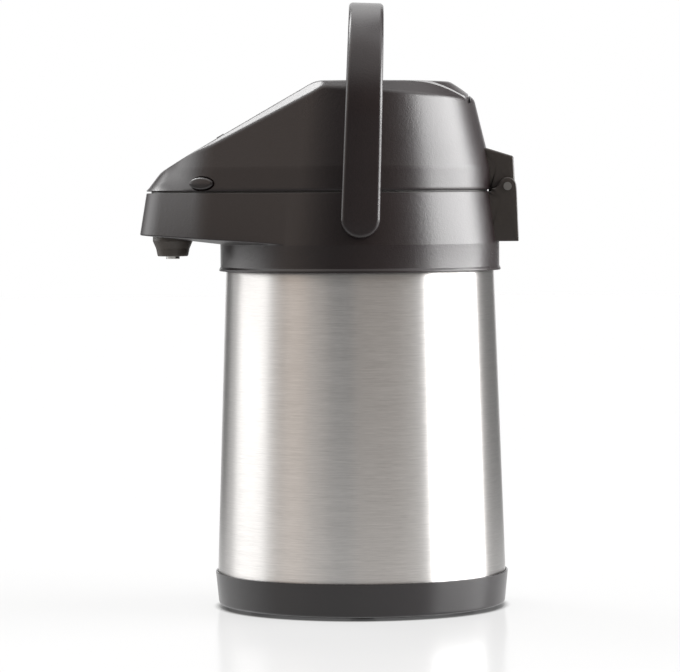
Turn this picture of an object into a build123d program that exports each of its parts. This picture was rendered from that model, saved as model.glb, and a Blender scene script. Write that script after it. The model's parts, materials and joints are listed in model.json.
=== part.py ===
from build123d import *
import math
import os

# A push-lid airpot: a steel vacuum vessel in a steel shell, with a moulded collar,
# a hinged lid that holds the air pump, a bail handle and a swivel foot.
# Millimetres, +Z up. The origin is on the table, on the axis of the vessel.
# The spout points along -Y and the lid's hinge is at +Y. X = 0 is the plane of symmetry.

# Fits
FIT = 0.05               # round fit of a pin, screw or plug in its hole
SOFT_GAP = 0.3           # between a rubber face and what it closes on
RUN_GAP = 0.4            # between moulded faces that slide past each other
NUDGE = 0.01             # keeps two cutting faces from falling together
ACROSS = (-90.0, 90.0)   # wider than the pot, for cutting blocks
LENGTHWISE = (-130.0, 95.0)

# Foot and base
PAD_PROUD = 1.0          # rubber pads below the swivel plate
PAD_RADIUS = 7.0
PAD_CIRCLE = 64.0
PAD_COUNT = 6
PAD_POCKET = 0.6
SWIVEL_RADIUS = 76.0
SWIVEL_THICK = 2.6
SWIVEL_WEB = 0.7         # left over the head of the swivel screw
SWIVEL_HEAD_RADIUS = 6.0
SWIVEL_SCREW_RADIUS = 2.9
SWIVEL_CLEAR = 1.0       # round the swivel plate, inside the base cup
GLIDE_WIDTH = 6.0
BASE_RADIUS = 83.0       # widest, at the top lip of the base cup
BASE_FOOT_RADIUS = 81.6  # at the foot of its wall, before the corner is rounded
BASE_CORNER = 5.5
BASE_SKIRT_CLEAR = 1.8   # table to the lower edge of the base cup
BASE_TOP = 20.4
BASE_FLOOR = 2.8
BASE_LIP = 8.4           # how deep the shell sits inside the top lip
LEDGE_WIDTH = 3.4
STANDOFF_CIRCLE = 45.0
STANDOFF_RADIUS = 4.0
STANDOFF_COUNT = 3
SCREW_RADIUS = 1.45
SCREW_HEAD_RADIUS = 3.0
SCREW_HEAD = 1.5
SCREW_BITE = 4.0

# Vessel
SHELL_RADIUS_LOW = 81.6  # outer shell at the top of the base cup
SHELL_RADIUS_HIGH = 75.9 # outer shell at the collar
SHELL_SHOWN = 170.0      # height of steel between base cup and collar
SHELL_WALL = 0.8
SHELL_RUN_IN = 1.0       # how far the straight wall runs into the collar
SHELL_BEND = 4.0
SHELL_FIT = 0.2          # between the shell and the collar's bore
CAP_RIM = 4.0            # upturned rim of the shell's bottom cap
SHOULDER_RISE = 12.6     # from the collar's lower edge to the flat of the shoulder
SHOULDER_FLAT_RADIUS = 50.0
SHELL_NECK_RADIUS = 41.0
NECK_RISE = 5.0          # neck above the flat of the shoulder
LINER_RADIUS = 68.1
LINER_WALL = 0.6
LINER_LIFT = 4.2         # vacuum gap under the liner
LINER_HEIGHT = 155.0     # straight part with its bottom corner
LINER_CORNER = 14.0
LINER_WELD_RISE = 2.0    # weld between bottom and wall, above the bottom's corner
LINER_NECK_BEND = 4.7
MOUTH_RADIUS = 36.0      # open radius of the mouth
NECK_RING_THICK = 2.0

# Collar
RING_RADIUS = 79.0
RING_LIP = 0.7           # bead round the lower edge of the ring
RING_LIP_HEIGHT = 1.0
RING_LIP_FADE = 1.5
RING_WALL = 5.2
RING_BORE_DEPTH = 7.65   # bore that goes over the shell
RING_HEIGHT = 15.3
COLLAR_RADIUS_LOW = 78.8
COLLAR_RADIUS_HIGH = 75.2
COLLAR_RISE = 28.9
COLLAR_WALL = 2.6
DECK_THICK = 3.0
WELL_STEP = 5.2          # step round the well, above the deck
NUT_RADIUS = 50.0
NUT_HEIGHT = 5.0
NUT_RIBS = 24
NUT_RIB_RADIUS = 1.2
NUT_RIB_SHORT = 1.0

# Plan of the nose: a middle circle and a tip circle carry the outline forward
MID_OUT = 60.0
MID_RADIUS = 49.0
TIP_RADIUS = 26.0
CREASE_FLARE = 2.0       # by which the nose's circles are larger at the crease
NOSE_REACH = 120.6       # tip of the nose at the split line
NOSE_FLARE = 4.8         # how much further the nose reaches at its underside
UNDERSIDE_START = 32.0   # where the sloping underside meets the ring
UNDERSIDE_ANGLE = 3.2

# Lid
SPLIT_GAP = 1.0
SKIRT_HEIGHT = 13.2
SKIRT_LEAN = 0.8
CROWN_HEIGHT = 47.5
CROWN_LEAN = 11.6        # how far the wall leans in over the crown height
NOSE_RAKE = 10.0         # how far the nose is raked back over the skirt
LID_WALL = 2.4
SLOPE_START = 24.2       # forward end of the flat top
SLOPE_ANGLE = 29.5
REAR_START = 51.0        # rearward end of the flat top
REAR_ANGLE = 30.0
FACET_START = 94.5       # where the side facets run out, towards the nose
FACET_HALF_WIDTH_FRONT = 33.0
FACET_HALF_WIDTH_BACK = 52.0
FACET_WIDTH = 8.6
FACET_DROP = 6.3
CROWN_EDGE_RADIUS = 58.0
CROWN_EDGE_ANGLE = 38.0
CROWN_TILT = 3.5
COVER_LIFT = 1.0         # lid's lower edge to the face of its inner cover
COVER_THICK = 2.2
COVER_GAP = 0.2
LID_SCREW_X = 57.0
LID_SCREW_Y = 30.0
LID_BOSS_RADIUS = 3.5
LID_SCREW_BORE = 10.0
LID_SCREW_LENGTH = 9.0

# Push plate
PLATE_FRONT = 65.0
PLATE_REAR = 61.5
PLATE_RELIEF_DROP = 1.0  # rim's lower edge behind the pivot, below its axis
PLATE_RADIUS = 55.0
PLATE_FRONT_CORNER = 8.0
PLATE_FRONT_HALF_WIDTH = 40.0
PLATE_REAR_CORNER = 12.0
PLATE_REAR_HALF_WIDTH = 30.0
PLATE_THICK = 2.4
PLATE_RIM_DEPTH = 7.5
PLATE_RIM_WALL = 1.6
PLATE_GAP = 0.7
PLATE_PIVOT_Y = 54.0
PLATE_PIVOT_DROP = 13.3  # flat top down to the pivot
PLATE_PIN_RADIUS = 1.5
EAR_THICK = 3.0
EAR_RADIUS = 4.0
EAR_OFFSET = 19.5
RIB_THICK = 2.4
CHEEK_CLEAR = 0.3        # between the plate's window and the pivot's cheeks
CHEEK_FRONT = 6.0
CHEEK_BACK = 12.0
CHEEK_DROP = 5.0
CATCH_WIDTH = 3.0
CATCH_REACH = 7.0
CATCH_THICK = 1.8

# Pump
PUMP_Y = 4.0             # centre of the bellows, behind the vessel's axis
BELLOWS_RADIUS = 36.0
BELLOWS_FOLD = 7.0
BELLOWS_FOLDS = 5
BELLOWS_WALL = 1.9       # measured level, across the slanting folds
BELLOWS_TOP_DROP = 12.3  # flat top down to the head of the bellows
PAD_HEAD_RADIUS = 33.0
PAD_HEAD_THICK = 2.5
PAD_WEB_SETBACK = 4.0
PAD_WEB_HALF = 1.0
SEAT_RADIUS = 38.0
SEAT_THICK = 2.4
SPRING_RADIUS = 22.0
SPRING_WIRE = 0.9
SPRING_TURNS = 5
PORT_RADIUS = 7.0
PORT_WALL = 1.4
BOSS_RADIUS = 18.0
BOSS_WALL = 2.0
OUTLET_SEAL_HEIGHT = 3.0
OUTLET_SEAL_WIDTH = 7.0
FLAP_OVERLAP = 2.0
FLAP_THICK = 1.0

# Water way
GASKET_THICK = 1.5
GASKET_SETBACK = 1.0
FLANGE_THICK = 2.5
FLANGE_RADIUS = 40.0
PLUG_DEPTH = 11.5
PLUG_WALL = 2.0
PLUG_SKIRT = 3.0
PLUG_CLEAR = 0.6
SEAL_GROOVE = 1.0
AIR_HOLE_RADIUS = 1.5
AIR_HOLES = 4
SEAL_HEIGHT = 3.0
TUBE_Y = -27.0
TUBE_RADIUS = 4.0
TUBE_BORE = 3.0
TUBE_LIFT = 3.0          # dip tube's end above the liner's floor
PIPE_RISE = 10.0         # pour pipe's axis above the flange
PIPE_RADIUS = 4.6
PIPE_BORE = 3.4
ELBOW_BEND = 8.0
PIPE_JOINT_Y = -46.0
SLEEVE_LENGTH = 12.0
SLEEVE_WALL = 2.0
PIPE_BEND = 9.0
SPOUT_Y = -106.0
SPOUT_RADIUS_TOP = 11.3
SPOUT_RADIUS_WAIST = 9.4
SPOUT_RADIUS_END = 8.6
SPOUT_END_DROP = 6.8     # collar's crease down to the end of the nozzle
SPOUT_WAIST_RISE = 4.8   # end of the nozzle up to its waist
SPOUT_BELL_RISE = 2.0    # crease up to the widest part of the bell
SPOUT_OVERRUN = 7.0      # bell above the crease, before the underside cuts it
SPOUT_SEAT_RISE = 2.0    # crease up to the end of the pour pipe
SPOUT_FLANGE = 2.0
SPOUT_FLANGE_CLEAR = 1.0
SPOUT_NECK_RADIUS = 8.0
TIP_TUBE_RADIUS = 3.9
TIP_TUBE_WALL = 0.9
TIP_TUBE_PROUD = 1.5

# Hinge
HINGE_Y = 83.0
HINGE_RISE = 2.8         # hinge axis above the split line
HINGE_PIN_RADIUS = 1.5
HINGE_PIN_HEAD = 2.3
HINGE_PIN_HEAD_HEIGHT = 0.8
HINGE_ROOT = 10.0        # depth of both halves into the wall, before it trims them
HINGE_SCREW_START = 62.0
HINGE_SCREW_BORE = 30.0
HINGE_SCREW_LENGTH = 10.0
HINGE_SCREW_BITE = 8.0
BRACKET_HALF_WIDTH = 21.0
BRACKET_DEPTH_TOP = 88.1
BRACKET_DEPTH_LOW = 89.2
BRACKET_FOOT = 0.8       # bracket's lower end above the crease of the collar
KNUCKLE_RADIUS = 5.0
BRACKET_EDGE = 1.5
ARM_HALF_WIDTH = 16.0
ARM_DEPTH_LOW = 87.5
ARM_DEPTH_TOP = 86.7
ARM_HEIGHT = 18.2
ARM_CREST_RISE = 5.4
ARM_CREST_Y = 69.5
ARM_ROOT = 8.0
ARM_SCREW_DROP = 1.0     # screws below the top of the skirt
ARM_SCREW_BORE = 20.0
ARM_SCREW_LENGTH = 7.0
ARM_SCREW_BITE = 4.0
ARM_HEAD_GAP = 1.2

# Handle
PIVOT_Z = 220.2
BAIL_INNER_HALF = 81.0
BAIL_REACH = 114.2       # pivot to the inner face of the top
BAIL_THICK = 6.0
BAIL_CORNER = 60.0
BAIL_WIDTH_LOW = 21.3
BAIL_WIDTH_TOP = 19.2
BAIL_LEAN = 2.1
BAIL_EDGE = 1.8
PIVOT_PIN_RADIUS = 4.0
PIVOT_BORE_DEPTH = 4.0
PIN_ROOT = 1.0           # handle pins' inner end, in from the wall's inner face
PIVOT_BOSS_RADIUS = 9.0
WASHER_THICK = 0.4
WASHER_GAP = 0.15
WASHER_SETBACK = 1.0

# Release buttons and lock
BUTTON_Y = -88.0
BUTTON_RISE = 4.3        # button's centre above the lid's lower edge
BUTTON_HALF_LONG = 8.0
BUTTON_HALF_HIGH = 3.3
BUTTON_PROUD = 1.3
BUTTON_ANGLE = 34.0      # direction of travel, from X towards the nose
BUTTON_DEPTH = 4.6
BUTTON_GAP = 0.4
BUTTON_FLANGE = 1.4
BUTTON_FLANGE_LAP = 1.0
BUTTON_EDGE = 0.8
BUTTON_HOLE_SPARE = 2.0
SPRING_POST_DEPTH = 12.5
SPRING_POST_HALF = 5.0
HOOK_ROOM_HALF = (10.0, 20.0)
RELEASE_RADIUS = 2.0
RELEASE_WIRE = 0.3
RELEASE_TURNS = 4
HOOK_WIDTH = 7.0
HOOK_THICK = 1.8
HOOK_DROP = 9.0
KEEPER_THICK = 1.2
KEEPER_GAP = 0.5         # between hook and keeper, which hold only when the lid is pushed home
LOCK_Y = -78.0
LOCK_TRAVEL = 6.0
LOCK_KNOB_HALF = 3.6
LOCK_SLOT_HALF = 7.2
LOCK_SLOT_HIGH = 2.7
LOCK_PROUD = 1.2
LOCK_SLOT_CORNER = 1.5
LOCK_KNOB_CORNER = 1.0
LOCK_SLOT_DEPTH = 4.0
LOCK_WING_HALF = (7.0, 5.0)
LOCK_WING_THICK = 1.2
TONGUE_START = 3.0
TONGUE_THICK = 1.4
TONGUE_SHORT = 4.6       # lock's tongue stops short of the push plate's edge

# Levels that stack up from the table
PLATE_LOW = PAD_PROUD
PLATE_TOP = PLATE_LOW + SWIVEL_THICK
FLOOR_LOW = PLATE_TOP + RUN_GAP
FLOOR_TOP = FLOOR_LOW + BASE_FLOOR
LEDGE = BASE_TOP - BASE_LIP
CAP_TOP = LEDGE + SHELL_WALL
LINER_LOW = CAP_TOP + LINER_LIFT
RING_LOW = BASE_TOP + SHELL_SHOWN
CREASE = RING_LOW + RING_HEIGHT
SPLIT = CREASE + COLLAR_RISE
DECK_LOW = RING_LOW + SHOULDER_RISE
DECK_TOP = DECK_LOW + DECK_THICK
NECK_TOP = DECK_LOW + NECK_RISE
MOUTH_TOP = NECK_TOP + NECK_RING_THICK
FLANGE_LOW = MOUTH_TOP + GASKET_THICK
FLANGE_TOP = FLANGE_LOW + FLANGE_THICK
PIPE_Z = FLANGE_TOP + PIPE_RISE
LID_LOW = SPLIT + SPLIT_GAP
SKIRT_TOP = LID_LOW + SKIRT_HEIGHT
LID_TOP = SKIRT_TOP + CROWN_HEIGHT
COVER_LOW = LID_LOW + COVER_LIFT
COVER_TOP = COVER_LOW + COVER_THICK
SEAT_TOP = COVER_TOP + SEAT_THICK
BELLOWS_TOP = LID_TOP - BELLOWS_TOP_DROP
PLATE_PIVOT_Z = LID_TOP - PLATE_PIVOT_DROP
HINGE_Z = SPLIT + HINGE_RISE
BUTTON_Z = LID_LOW + BUTTON_RISE
ABOVE_ALL = LID_TOP + 20.0
LINER_WELD = LINER_LOW + LINER_CORNER + LINER_WELD_RISE


def rod(radius, low, high, x=0.0, y=0.0):
    """An upright cylinder between two heights."""
    blank = Cylinder(radius, high - low, align=(Align.CENTER, Align.CENTER, Align.MIN))
    return Pos(x, y, low) * blank


def cross_rod(radius, x_from, x_to, y, z):
    """A cylinder along X between two places."""
    blank = Cylinder(radius, x_to - x_from, align=(Align.CENTER, Align.CENTER, Align.MIN))
    return Pos(x_from, y, z) * Rot(0, 90, 0) * blank


def block(x, y, z):
    """A box from three (low, high) pairs."""
    middle = [(low + high) / 2 for low, high in (x, y, z)]
    return Pos(*middle) * Box(x[1] - x[0], y[1] - y[0], z[1] - z[0])


def turned(*points):
    """A solid turned about the Z axis from (radius, height) corners."""
    section = Plane.XZ * make_face(Polyline(*points, close=True))
    return revolve(section, Axis.Z)


def both_sides(solid):
    """The solid with its mirror image in X = 0."""
    return Part() + [solid, mirror(solid, Plane.YZ)]


def ring_of(solid, count):
    """The solid repeated round the Z axis."""
    return Part() + [Rot(0, 0, 360 * index / count) * solid for index in range(count)]


def shell_radius(z):
    """Outer radius of the tapered steel shell at a height."""
    share = (z - BASE_TOP) / SHELL_SHOWN
    return SHELL_RADIUS_LOW + share * (SHELL_RADIUS_HIGH - SHELL_RADIUS_LOW)


def foot_pads():
    """Rubber pads pressed into pockets of the swivel plate, with one over its screw."""
    top = PAD_PROUD + PAD_POCKET
    return ring_of(rod(PAD_RADIUS, 0, top, x=PAD_CIRCLE), PAD_COUNT) + rod(PAD_RADIUS, 0, top)


def swivel_plate():
    """Round plate that stands on the table and lets the pot turn."""
    plate = rod(SWIVEL_RADIUS, PLATE_LOW, PLATE_TOP)
    pocket = rod(PAD_RADIUS, PLATE_LOW, PLATE_LOW + PAD_POCKET)
    head_room = rod(SWIVEL_HEAD_RADIUS + RUN_GAP, PLATE_LOW, PLATE_TOP - SWIVEL_WEB)
    hole = rod(SWIVEL_SCREW_RADIUS + FIT, PLATE_LOW, PLATE_TOP)
    return plate - ring_of(Pos(PAD_CIRCLE, 0, 0) * pocket, PAD_COUNT) - pocket - head_room - hole


def glide_ring():
    """Thin slippery ring on the swivel plate, under the floor of the base cup."""
    middle = (STANDOFF_CIRCLE + PAD_CIRCLE) / 2
    top = PLATE_TOP + RUN_GAP - WASHER_GAP
    ring = rod(middle + GLIDE_WIDTH / 2, PLATE_TOP, top)
    return ring - rod(middle - GLIDE_WIDTH / 2, PLATE_TOP, top)


def swivel_screw():
    """Shouldered screw that holds the swivel plate to the base cup."""
    head_top = PLATE_TOP - SWIVEL_WEB - WASHER_GAP
    head = rod(SWIVEL_HEAD_RADIUS, PLATE_LOW + PAD_POCKET + WASHER_GAP, head_top)
    return head + rod(SWIVEL_SCREW_RADIUS, head_top, FLOOR_TOP + SCREW_BITE)


def base_cup():
    """Black cup under the shell, with a lip round it and a recess for the swivel plate."""
    lip_inner = shell_radius(LEDGE) + FIT * 2
    wall = make_face(
        Polyline(
            (0, BASE_SKIRT_CLEAR),
            (BASE_FOOT_RADIUS, BASE_SKIRT_CLEAR),
            (BASE_RADIUS, BASE_TOP),
            (0, BASE_TOP),
            close=True,
        )
    )
    foot_corner = wall.vertices().sort_by(Axis.Y)[:2].sort_by(Axis.X)[-1]
    wall = fillet(foot_corner, BASE_CORNER)
    wall = fillet(wall.vertices().sort_by(Axis.X)[-1], (BASE_RADIUS - lip_inner) / 2)
    cup = revolve(Plane.XZ * wall, Axis.Z)
    cup -= rod(SWIVEL_RADIUS + SWIVEL_CLEAR, 0, FLOOR_LOW)
    cup -= rod(lip_inner, LEDGE, BASE_TOP)
    cup -= rod(lip_inner - LEDGE_WIDTH, FLOOR_TOP, BASE_TOP)
    cup += rod(SWIVEL_HEAD_RADIUS, FLOOR_LOW, LEDGE - RUN_GAP)
    cup -= rod(SWIVEL_SCREW_RADIUS + FIT, FLOOR_LOW, FLOOR_TOP + SCREW_BITE)
    head_seat = rod(SCREW_HEAD_RADIUS + FIT, FLOOR_LOW, FLOOR_LOW + SCREW_HEAD, x=STANDOFF_CIRCLE)
    hole = rod(SCREW_RADIUS + FIT, FLOOR_LOW, FLOOR_TOP, x=STANDOFF_CIRCLE)
    return cup - ring_of(head_seat + hole, STANDOFF_COUNT)


def base_standoffs():
    """Threaded standoffs welded under the shell's bottom cap."""
    post = rod(STANDOFF_RADIUS, FLOOR_TOP, LEDGE, x=STANDOFF_CIRCLE)
    bore = rod(SCREW_RADIUS + FIT, FLOOR_TOP, FLOOR_TOP + SCREW_BITE, x=STANDOFF_CIRCLE)
    return ring_of(post - bore, STANDOFF_COUNT)


def base_screws():
    """Screws that clamp the base cup to the standoffs."""
    head_top = FLOOR_LOW + SCREW_HEAD
    screw = rod(SCREW_HEAD_RADIUS, FLOOR_LOW, head_top, x=STANDOFF_CIRCLE)
    screw += rod(SCREW_RADIUS, head_top, FLOOR_TOP + SCREW_BITE, x=STANDOFF_CIRCLE)
    return ring_of(screw, STANDOFF_COUNT)


def shell_form(inset):
    """Filled outer form of the steel shell, drawn in by a wall thickness."""
    wall_top = RING_LOW + SHELL_RUN_IN
    section = make_face(
        Polyline(
            (0, LEDGE - inset),
            (shell_radius(LEDGE) - inset, LEDGE - inset),
            (shell_radius(wall_top) - inset, wall_top),
            (SHOULDER_FLAT_RADIUS, DECK_LOW - inset),
            (SHELL_NECK_RADIUS - inset, DECK_LOW - inset),
            (SHELL_NECK_RADIUS - inset, NECK_TOP + inset),
            (0, NECK_TOP + inset),
            close=True,
        )
    )
    corner = [v for v in section.vertices() if abs(v.Y - wall_top) < NUDGE]
    section = fillet(corner, SHELL_BEND - inset)
    return revolve(Plane.XZ * section, Axis.Z)


def outer_shell():
    """Brushed steel shell: a tapered tube with a shoulder and a neck."""
    return shell_form(0) - shell_form(SHELL_WALL)


def shell_bottom():
    """Pressed cap that closes the vacuum space from below."""
    rim_top = CAP_TOP + CAP_RIM
    fit = SHELL_WALL + FIT
    return turned(
        (0, LEDGE),
        (shell_radius(LEDGE) - fit, LEDGE),
        (shell_radius(rim_top) - fit, rim_top),
        (shell_radius(rim_top) - fit - SHELL_WALL, rim_top),
        (shell_radius(CAP_TOP) - fit - SHELL_WALL, CAP_TOP),
        (0, CAP_TOP),
    )


def liner_form(inset):
    """Filled form of the inner bottle, drawn in by its wall thickness."""
    neck = MOUTH_RADIUS + LINER_WALL - inset
    straight_top = LINER_LOW + LINER_HEIGHT
    section = make_face(
        Polyline(
            (0, LINER_LOW + inset),
            (LINER_RADIUS - inset, LINER_LOW + inset),
            (LINER_RADIUS - inset, straight_top),
            (neck, DECK_LOW - LINER_LIFT),
            (neck, NECK_TOP + inset),
            (0, NECK_TOP + inset),
            close=True,
        )
    )
    low_corner = [v for v in section.vertices() if v.X > neck and v.Y < LINER_LOW + LINER_CORNER]
    section = fillet(low_corner, LINER_CORNER - inset)
    shoulder = [v for v in section.vertices() if abs(v.Y - straight_top) < NUDGE]
    section = fillet(shoulder, LINER_CORNER - inset)
    root = [v for v in section.vertices() if abs(v.Y - DECK_LOW + LINER_LIFT) < NUDGE]
    section = fillet(root, LINER_NECK_BEND + inset)
    return revolve(Plane.XZ * section, Axis.Z)


def bottle():
    """Steel bottle that holds the drink, with its bottom."""
    return liner_form(0) - liner_form(LINER_WALL)


def inner_liner():
    """Wall, shoulder and neck of the bottle, drawn from one tube."""
    return split(bottle(), Plane.XY.offset(LINER_WELD), keep=Keep.TOP)


def liner_bottom():
    """Dished bottom, welded edge to edge to the bottle's wall."""
    return split(bottle(), Plane.XY.offset(LINER_WELD), keep=Keep.BOTTOM)


def neck_ring():
    """Rolled ring that joins the liner to the shell round the mouth."""
    return rod(SHELL_NECK_RADIUS, NECK_TOP, MOUTH_TOP) - rod(MOUTH_RADIUS, NECK_TOP, MOUTH_TOP)


def nose_outline(z, body, middle, tip, reach):
    """Plan outline at a height: three circles on the centre line, joined by tangents."""
    circles = [(0.0, body), (-MID_OUT, middle), (tip - reach, tip)]
    right = []
    for (y_a, r_a), (y_b, r_b) in zip(circles, circles[1:]):
        turn = math.asin((r_a - r_b) / (y_a - y_b))
        side = math.cos(turn)
        drop = math.sin(turn)
        right.append((r_a * side, y_a - r_a * drop))
        right.append((r_b * side, y_b - r_b * drop))
    left = [(-x, y) for x, y in right]
    swing = (math.asin(right[1][0] / middle) + math.asin(right[2][0] / middle)) / 2
    bulge = (middle * math.sin(swing), -MID_OUT - middle * math.cos(swing))
    edges = [
        ThreePointArc(right[0], (0, body), left[0]),
        Line(left[0], left[1]),
        ThreePointArc(left[1], (-bulge[0], bulge[1]), left[2]),
        Line(left[2], left[3]),
        ThreePointArc(left[3], (0, -reach), right[3]),
        Line(right[3], right[2]),
        ThreePointArc(right[2], bulge, right[1]),
        Line(right[1], right[0]),
    ]
    return Pos(0, 0, z) * make_face(edges)


def upper_collar_form(inset):
    """Filled form of the collar between its crease and the split line."""
    low = nose_outline(
        CREASE,
        COLLAR_RADIUS_LOW - inset,
        MID_RADIUS + CREASE_FLARE - inset,
        TIP_RADIUS + CREASE_FLARE - inset,
        NOSE_REACH + NOSE_FLARE - inset,
    )
    high = nose_outline(
        SPLIT, COLLAR_RADIUS_HIGH - inset, MID_RADIUS - inset, TIP_RADIUS - inset, NOSE_REACH - inset
    )
    return loft([low, high], ruled=True)


def underside_plane(lift):
    """Plane of the nose's sloping underside, raised by a thickness."""
    tilt = math.radians(UNDERSIDE_ANGLE)
    return Plane(
        origin=(0, -UNDERSIDE_START, CREASE + lift),
        x_dir=(1, 0, 0),
        z_dir=(0, math.sin(tilt), math.cos(tilt)),
    )


def collar():
    """Moulded collar: ring over the shell, deck round the neck and hollow nose."""
    upper = split(upper_collar_form(0), underside_plane(0), keep=Keep.TOP)
    lip_top = RING_LOW + RING_LIP_HEIGHT
    ring = turned(
        (0, RING_LOW),
        (RING_RADIUS + RING_LIP, RING_LOW),
        (RING_RADIUS + RING_LIP, lip_top),
        (RING_RADIUS, lip_top + RING_LIP_FADE),
        (RING_RADIUS, CREASE),
        (0, CREASE),
    )
    inner_radius = RING_RADIUS - RING_WALL
    throat = rod(inner_radius + COLLAR_WALL, DECK_LOW, DECK_TOP + WELL_STEP)
    throat = throat & upper_collar_form(COLLAR_WALL / 2)
    body = upper + ring + throat
    body -= rod(shell_radius(RING_LOW) + SHELL_FIT, RING_LOW, RING_LOW + RING_BORE_DEPTH)
    body -= rod(inner_radius, RING_LOW, DECK_LOW)
    body -= rod(SHELL_NECK_RADIUS + FIT, DECK_LOW, DECK_TOP)
    well = rod(inner_radius, DECK_TOP, SPLIT) & Pos(0, 0, NUDGE) * upper_collar_form(COLLAR_WALL)
    channel = split(upper_collar_form(COLLAR_WALL), underside_plane(COLLAR_WALL), keep=Keep.TOP)
    channel = channel & block(ACROSS, LENGTHWISE, (DECK_TOP + COLLAR_WALL, SPLIT))
    body = body - well - channel
    return finish_collar(body)


def finish_collar(body):
    """Bosses for the handle, and the holes for spout, hinge screws and keepers."""
    boss_in = COLLAR_RADIUS_HIGH - COLLAR_WALL
    boss = cross_rod(PIVOT_BOSS_RADIUS, boss_in, BAIL_INNER_HALF - WASHER_THICK - WASHER_GAP, 0, PIVOT_Z)
    socket = cross_rod(PIVOT_PIN_RADIUS + FIT, boss_in + PIN_ROOT, BAIL_INNER_HALF, 0, PIVOT_Z)
    body = body + both_sides(boss) - both_sides(socket)
    body -= rod(SPOUT_NECK_RADIUS + FIT, CREASE - SPOUT_END_DROP, SPLIT, y=SPOUT_Y)
    return body - both_sides(hinge_screw_hole())


def collar_nut():
    """Ribbed ring nut that clamps the collar's deck on the shell's shoulder."""
    top = DECK_TOP + NUT_HEIGHT
    nut = rod(NUT_RADIUS, DECK_TOP, top) - rod(SHELL_NECK_RADIUS + FIT, DECK_TOP, top)
    rib = rod(NUT_RIB_RADIUS, DECK_TOP, top - NUT_RIB_SHORT, x=NUT_RADIUS)
    return nut + ring_of(rib, NUT_RIBS)


def mouth_gasket():
    """Flat ring between the neck ring and the flange of the tube unit."""
    outer = rod(FLANGE_RADIUS, MOUTH_TOP, FLANGE_LOW)
    return outer - rod(MOUTH_RADIUS + GASKET_SETBACK, MOUTH_TOP, FLANGE_LOW)


def tube_flange():
    """Stopper that closes the mouth and carries the dip tube."""
    plug_radius = MOUTH_RADIUS - PLUG_CLEAR
    plug_low = FLANGE_TOP - PLUG_DEPTH
    body = rod(FLANGE_RADIUS, FLANGE_LOW, FLANGE_TOP) + rod(plug_radius, plug_low, FLANGE_LOW)
    body -= rod(plug_radius - PLUG_SKIRT, plug_low, FLANGE_LOW)
    body += rod(TUBE_RADIUS + PLUG_WALL, plug_low, FLANGE_LOW, y=TUBE_Y)
    body -= rod(TUBE_RADIUS + FIT, plug_low, FLANGE_TOP, y=TUBE_Y)
    groove_low = plug_low + PLUG_WALL
    groove = rod(MOUTH_RADIUS, groove_low, groove_low + SEAL_HEIGHT)
    body -= groove - rod(plug_radius - SEAL_GROOVE, groove_low, groove_low + SEAL_HEIGHT)
    air_hole = rod(AIR_HOLE_RADIUS, plug_low, FLANGE_TOP, x=PORT_RADIUS)
    return body - Pos(0, PUMP_Y, 0) * ring_of(air_hole, AIR_HOLES)


def plug_seal():
    """Sealing ring in the groove of the stopper."""
    low = FLANGE_TOP - PLUG_DEPTH + PLUG_WALL
    ring = rod(MOUTH_RADIUS - FIT, low, low + SEAL_HEIGHT)
    return ring - rod(MOUTH_RADIUS - PLUG_CLEAR - SEAL_GROOVE, low, low + SEAL_HEIGHT)


def dip_tube():
    """Straight tube from the stopper to the floor of the liner, cut slanting at its end."""
    low = LINER_LOW + LINER_WALL + TUBE_LIFT
    tube = rod(TUBE_RADIUS, low, FLANGE_TOP, y=TUBE_Y) - rod(TUBE_BORE, low, FLANGE_TOP, y=TUBE_Y)
    cut = Plane(origin=(0, TUBE_Y, low + TUBE_RADIUS), x_dir=(1, 0, 0), z_dir=(0, -1, 2))
    return split(tube, cut, keep=Keep.TOP)


def bent_tube(points, bend, outer, bore):
    """A round tube along straight runs with one bend radius."""
    path = FilletPolyline(*points, radius=bend)
    start = Plane(origin=path @ 0, z_dir=path % 0)
    section = start * (Circle(outer) - Circle(bore))
    return sweep(section, path=path)


def pour_elbow():
    """Elbow that turns the water from the dip tube towards the nose."""
    points = [(0, TUBE_Y, FLANGE_TOP), (0, TUBE_Y, PIPE_Z), (0, PIPE_JOINT_Y, PIPE_Z)]
    return bent_tube(points, ELBOW_BEND, PIPE_RADIUS, PIPE_BORE)


def pipe_seal():
    """Rubber sleeve over the joint between elbow and pour pipe."""
    sleeve = Cylinder(PIPE_RADIUS + FIT + SLEEVE_WALL, SLEEVE_LENGTH)
    sleeve -= Cylinder(PIPE_RADIUS + FIT, SLEEVE_LENGTH)
    return Pos(0, PIPE_JOINT_Y, PIPE_Z) * Rot(90, 0, 0) * sleeve


def spout_seat():
    """Height in the nozzle where the pour pipe ends."""
    return CREASE + SPOUT_SEAT_RISE


def pour_pipe():
    """Pipe along the nose that turns down into the nozzle."""
    points = [(0, PIPE_JOINT_Y, PIPE_Z), (0, SPOUT_Y, PIPE_Z), (0, SPOUT_Y, spout_seat())]
    return bent_tube(points, PIPE_BEND, PIPE_RADIUS, PIPE_BORE)


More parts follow.
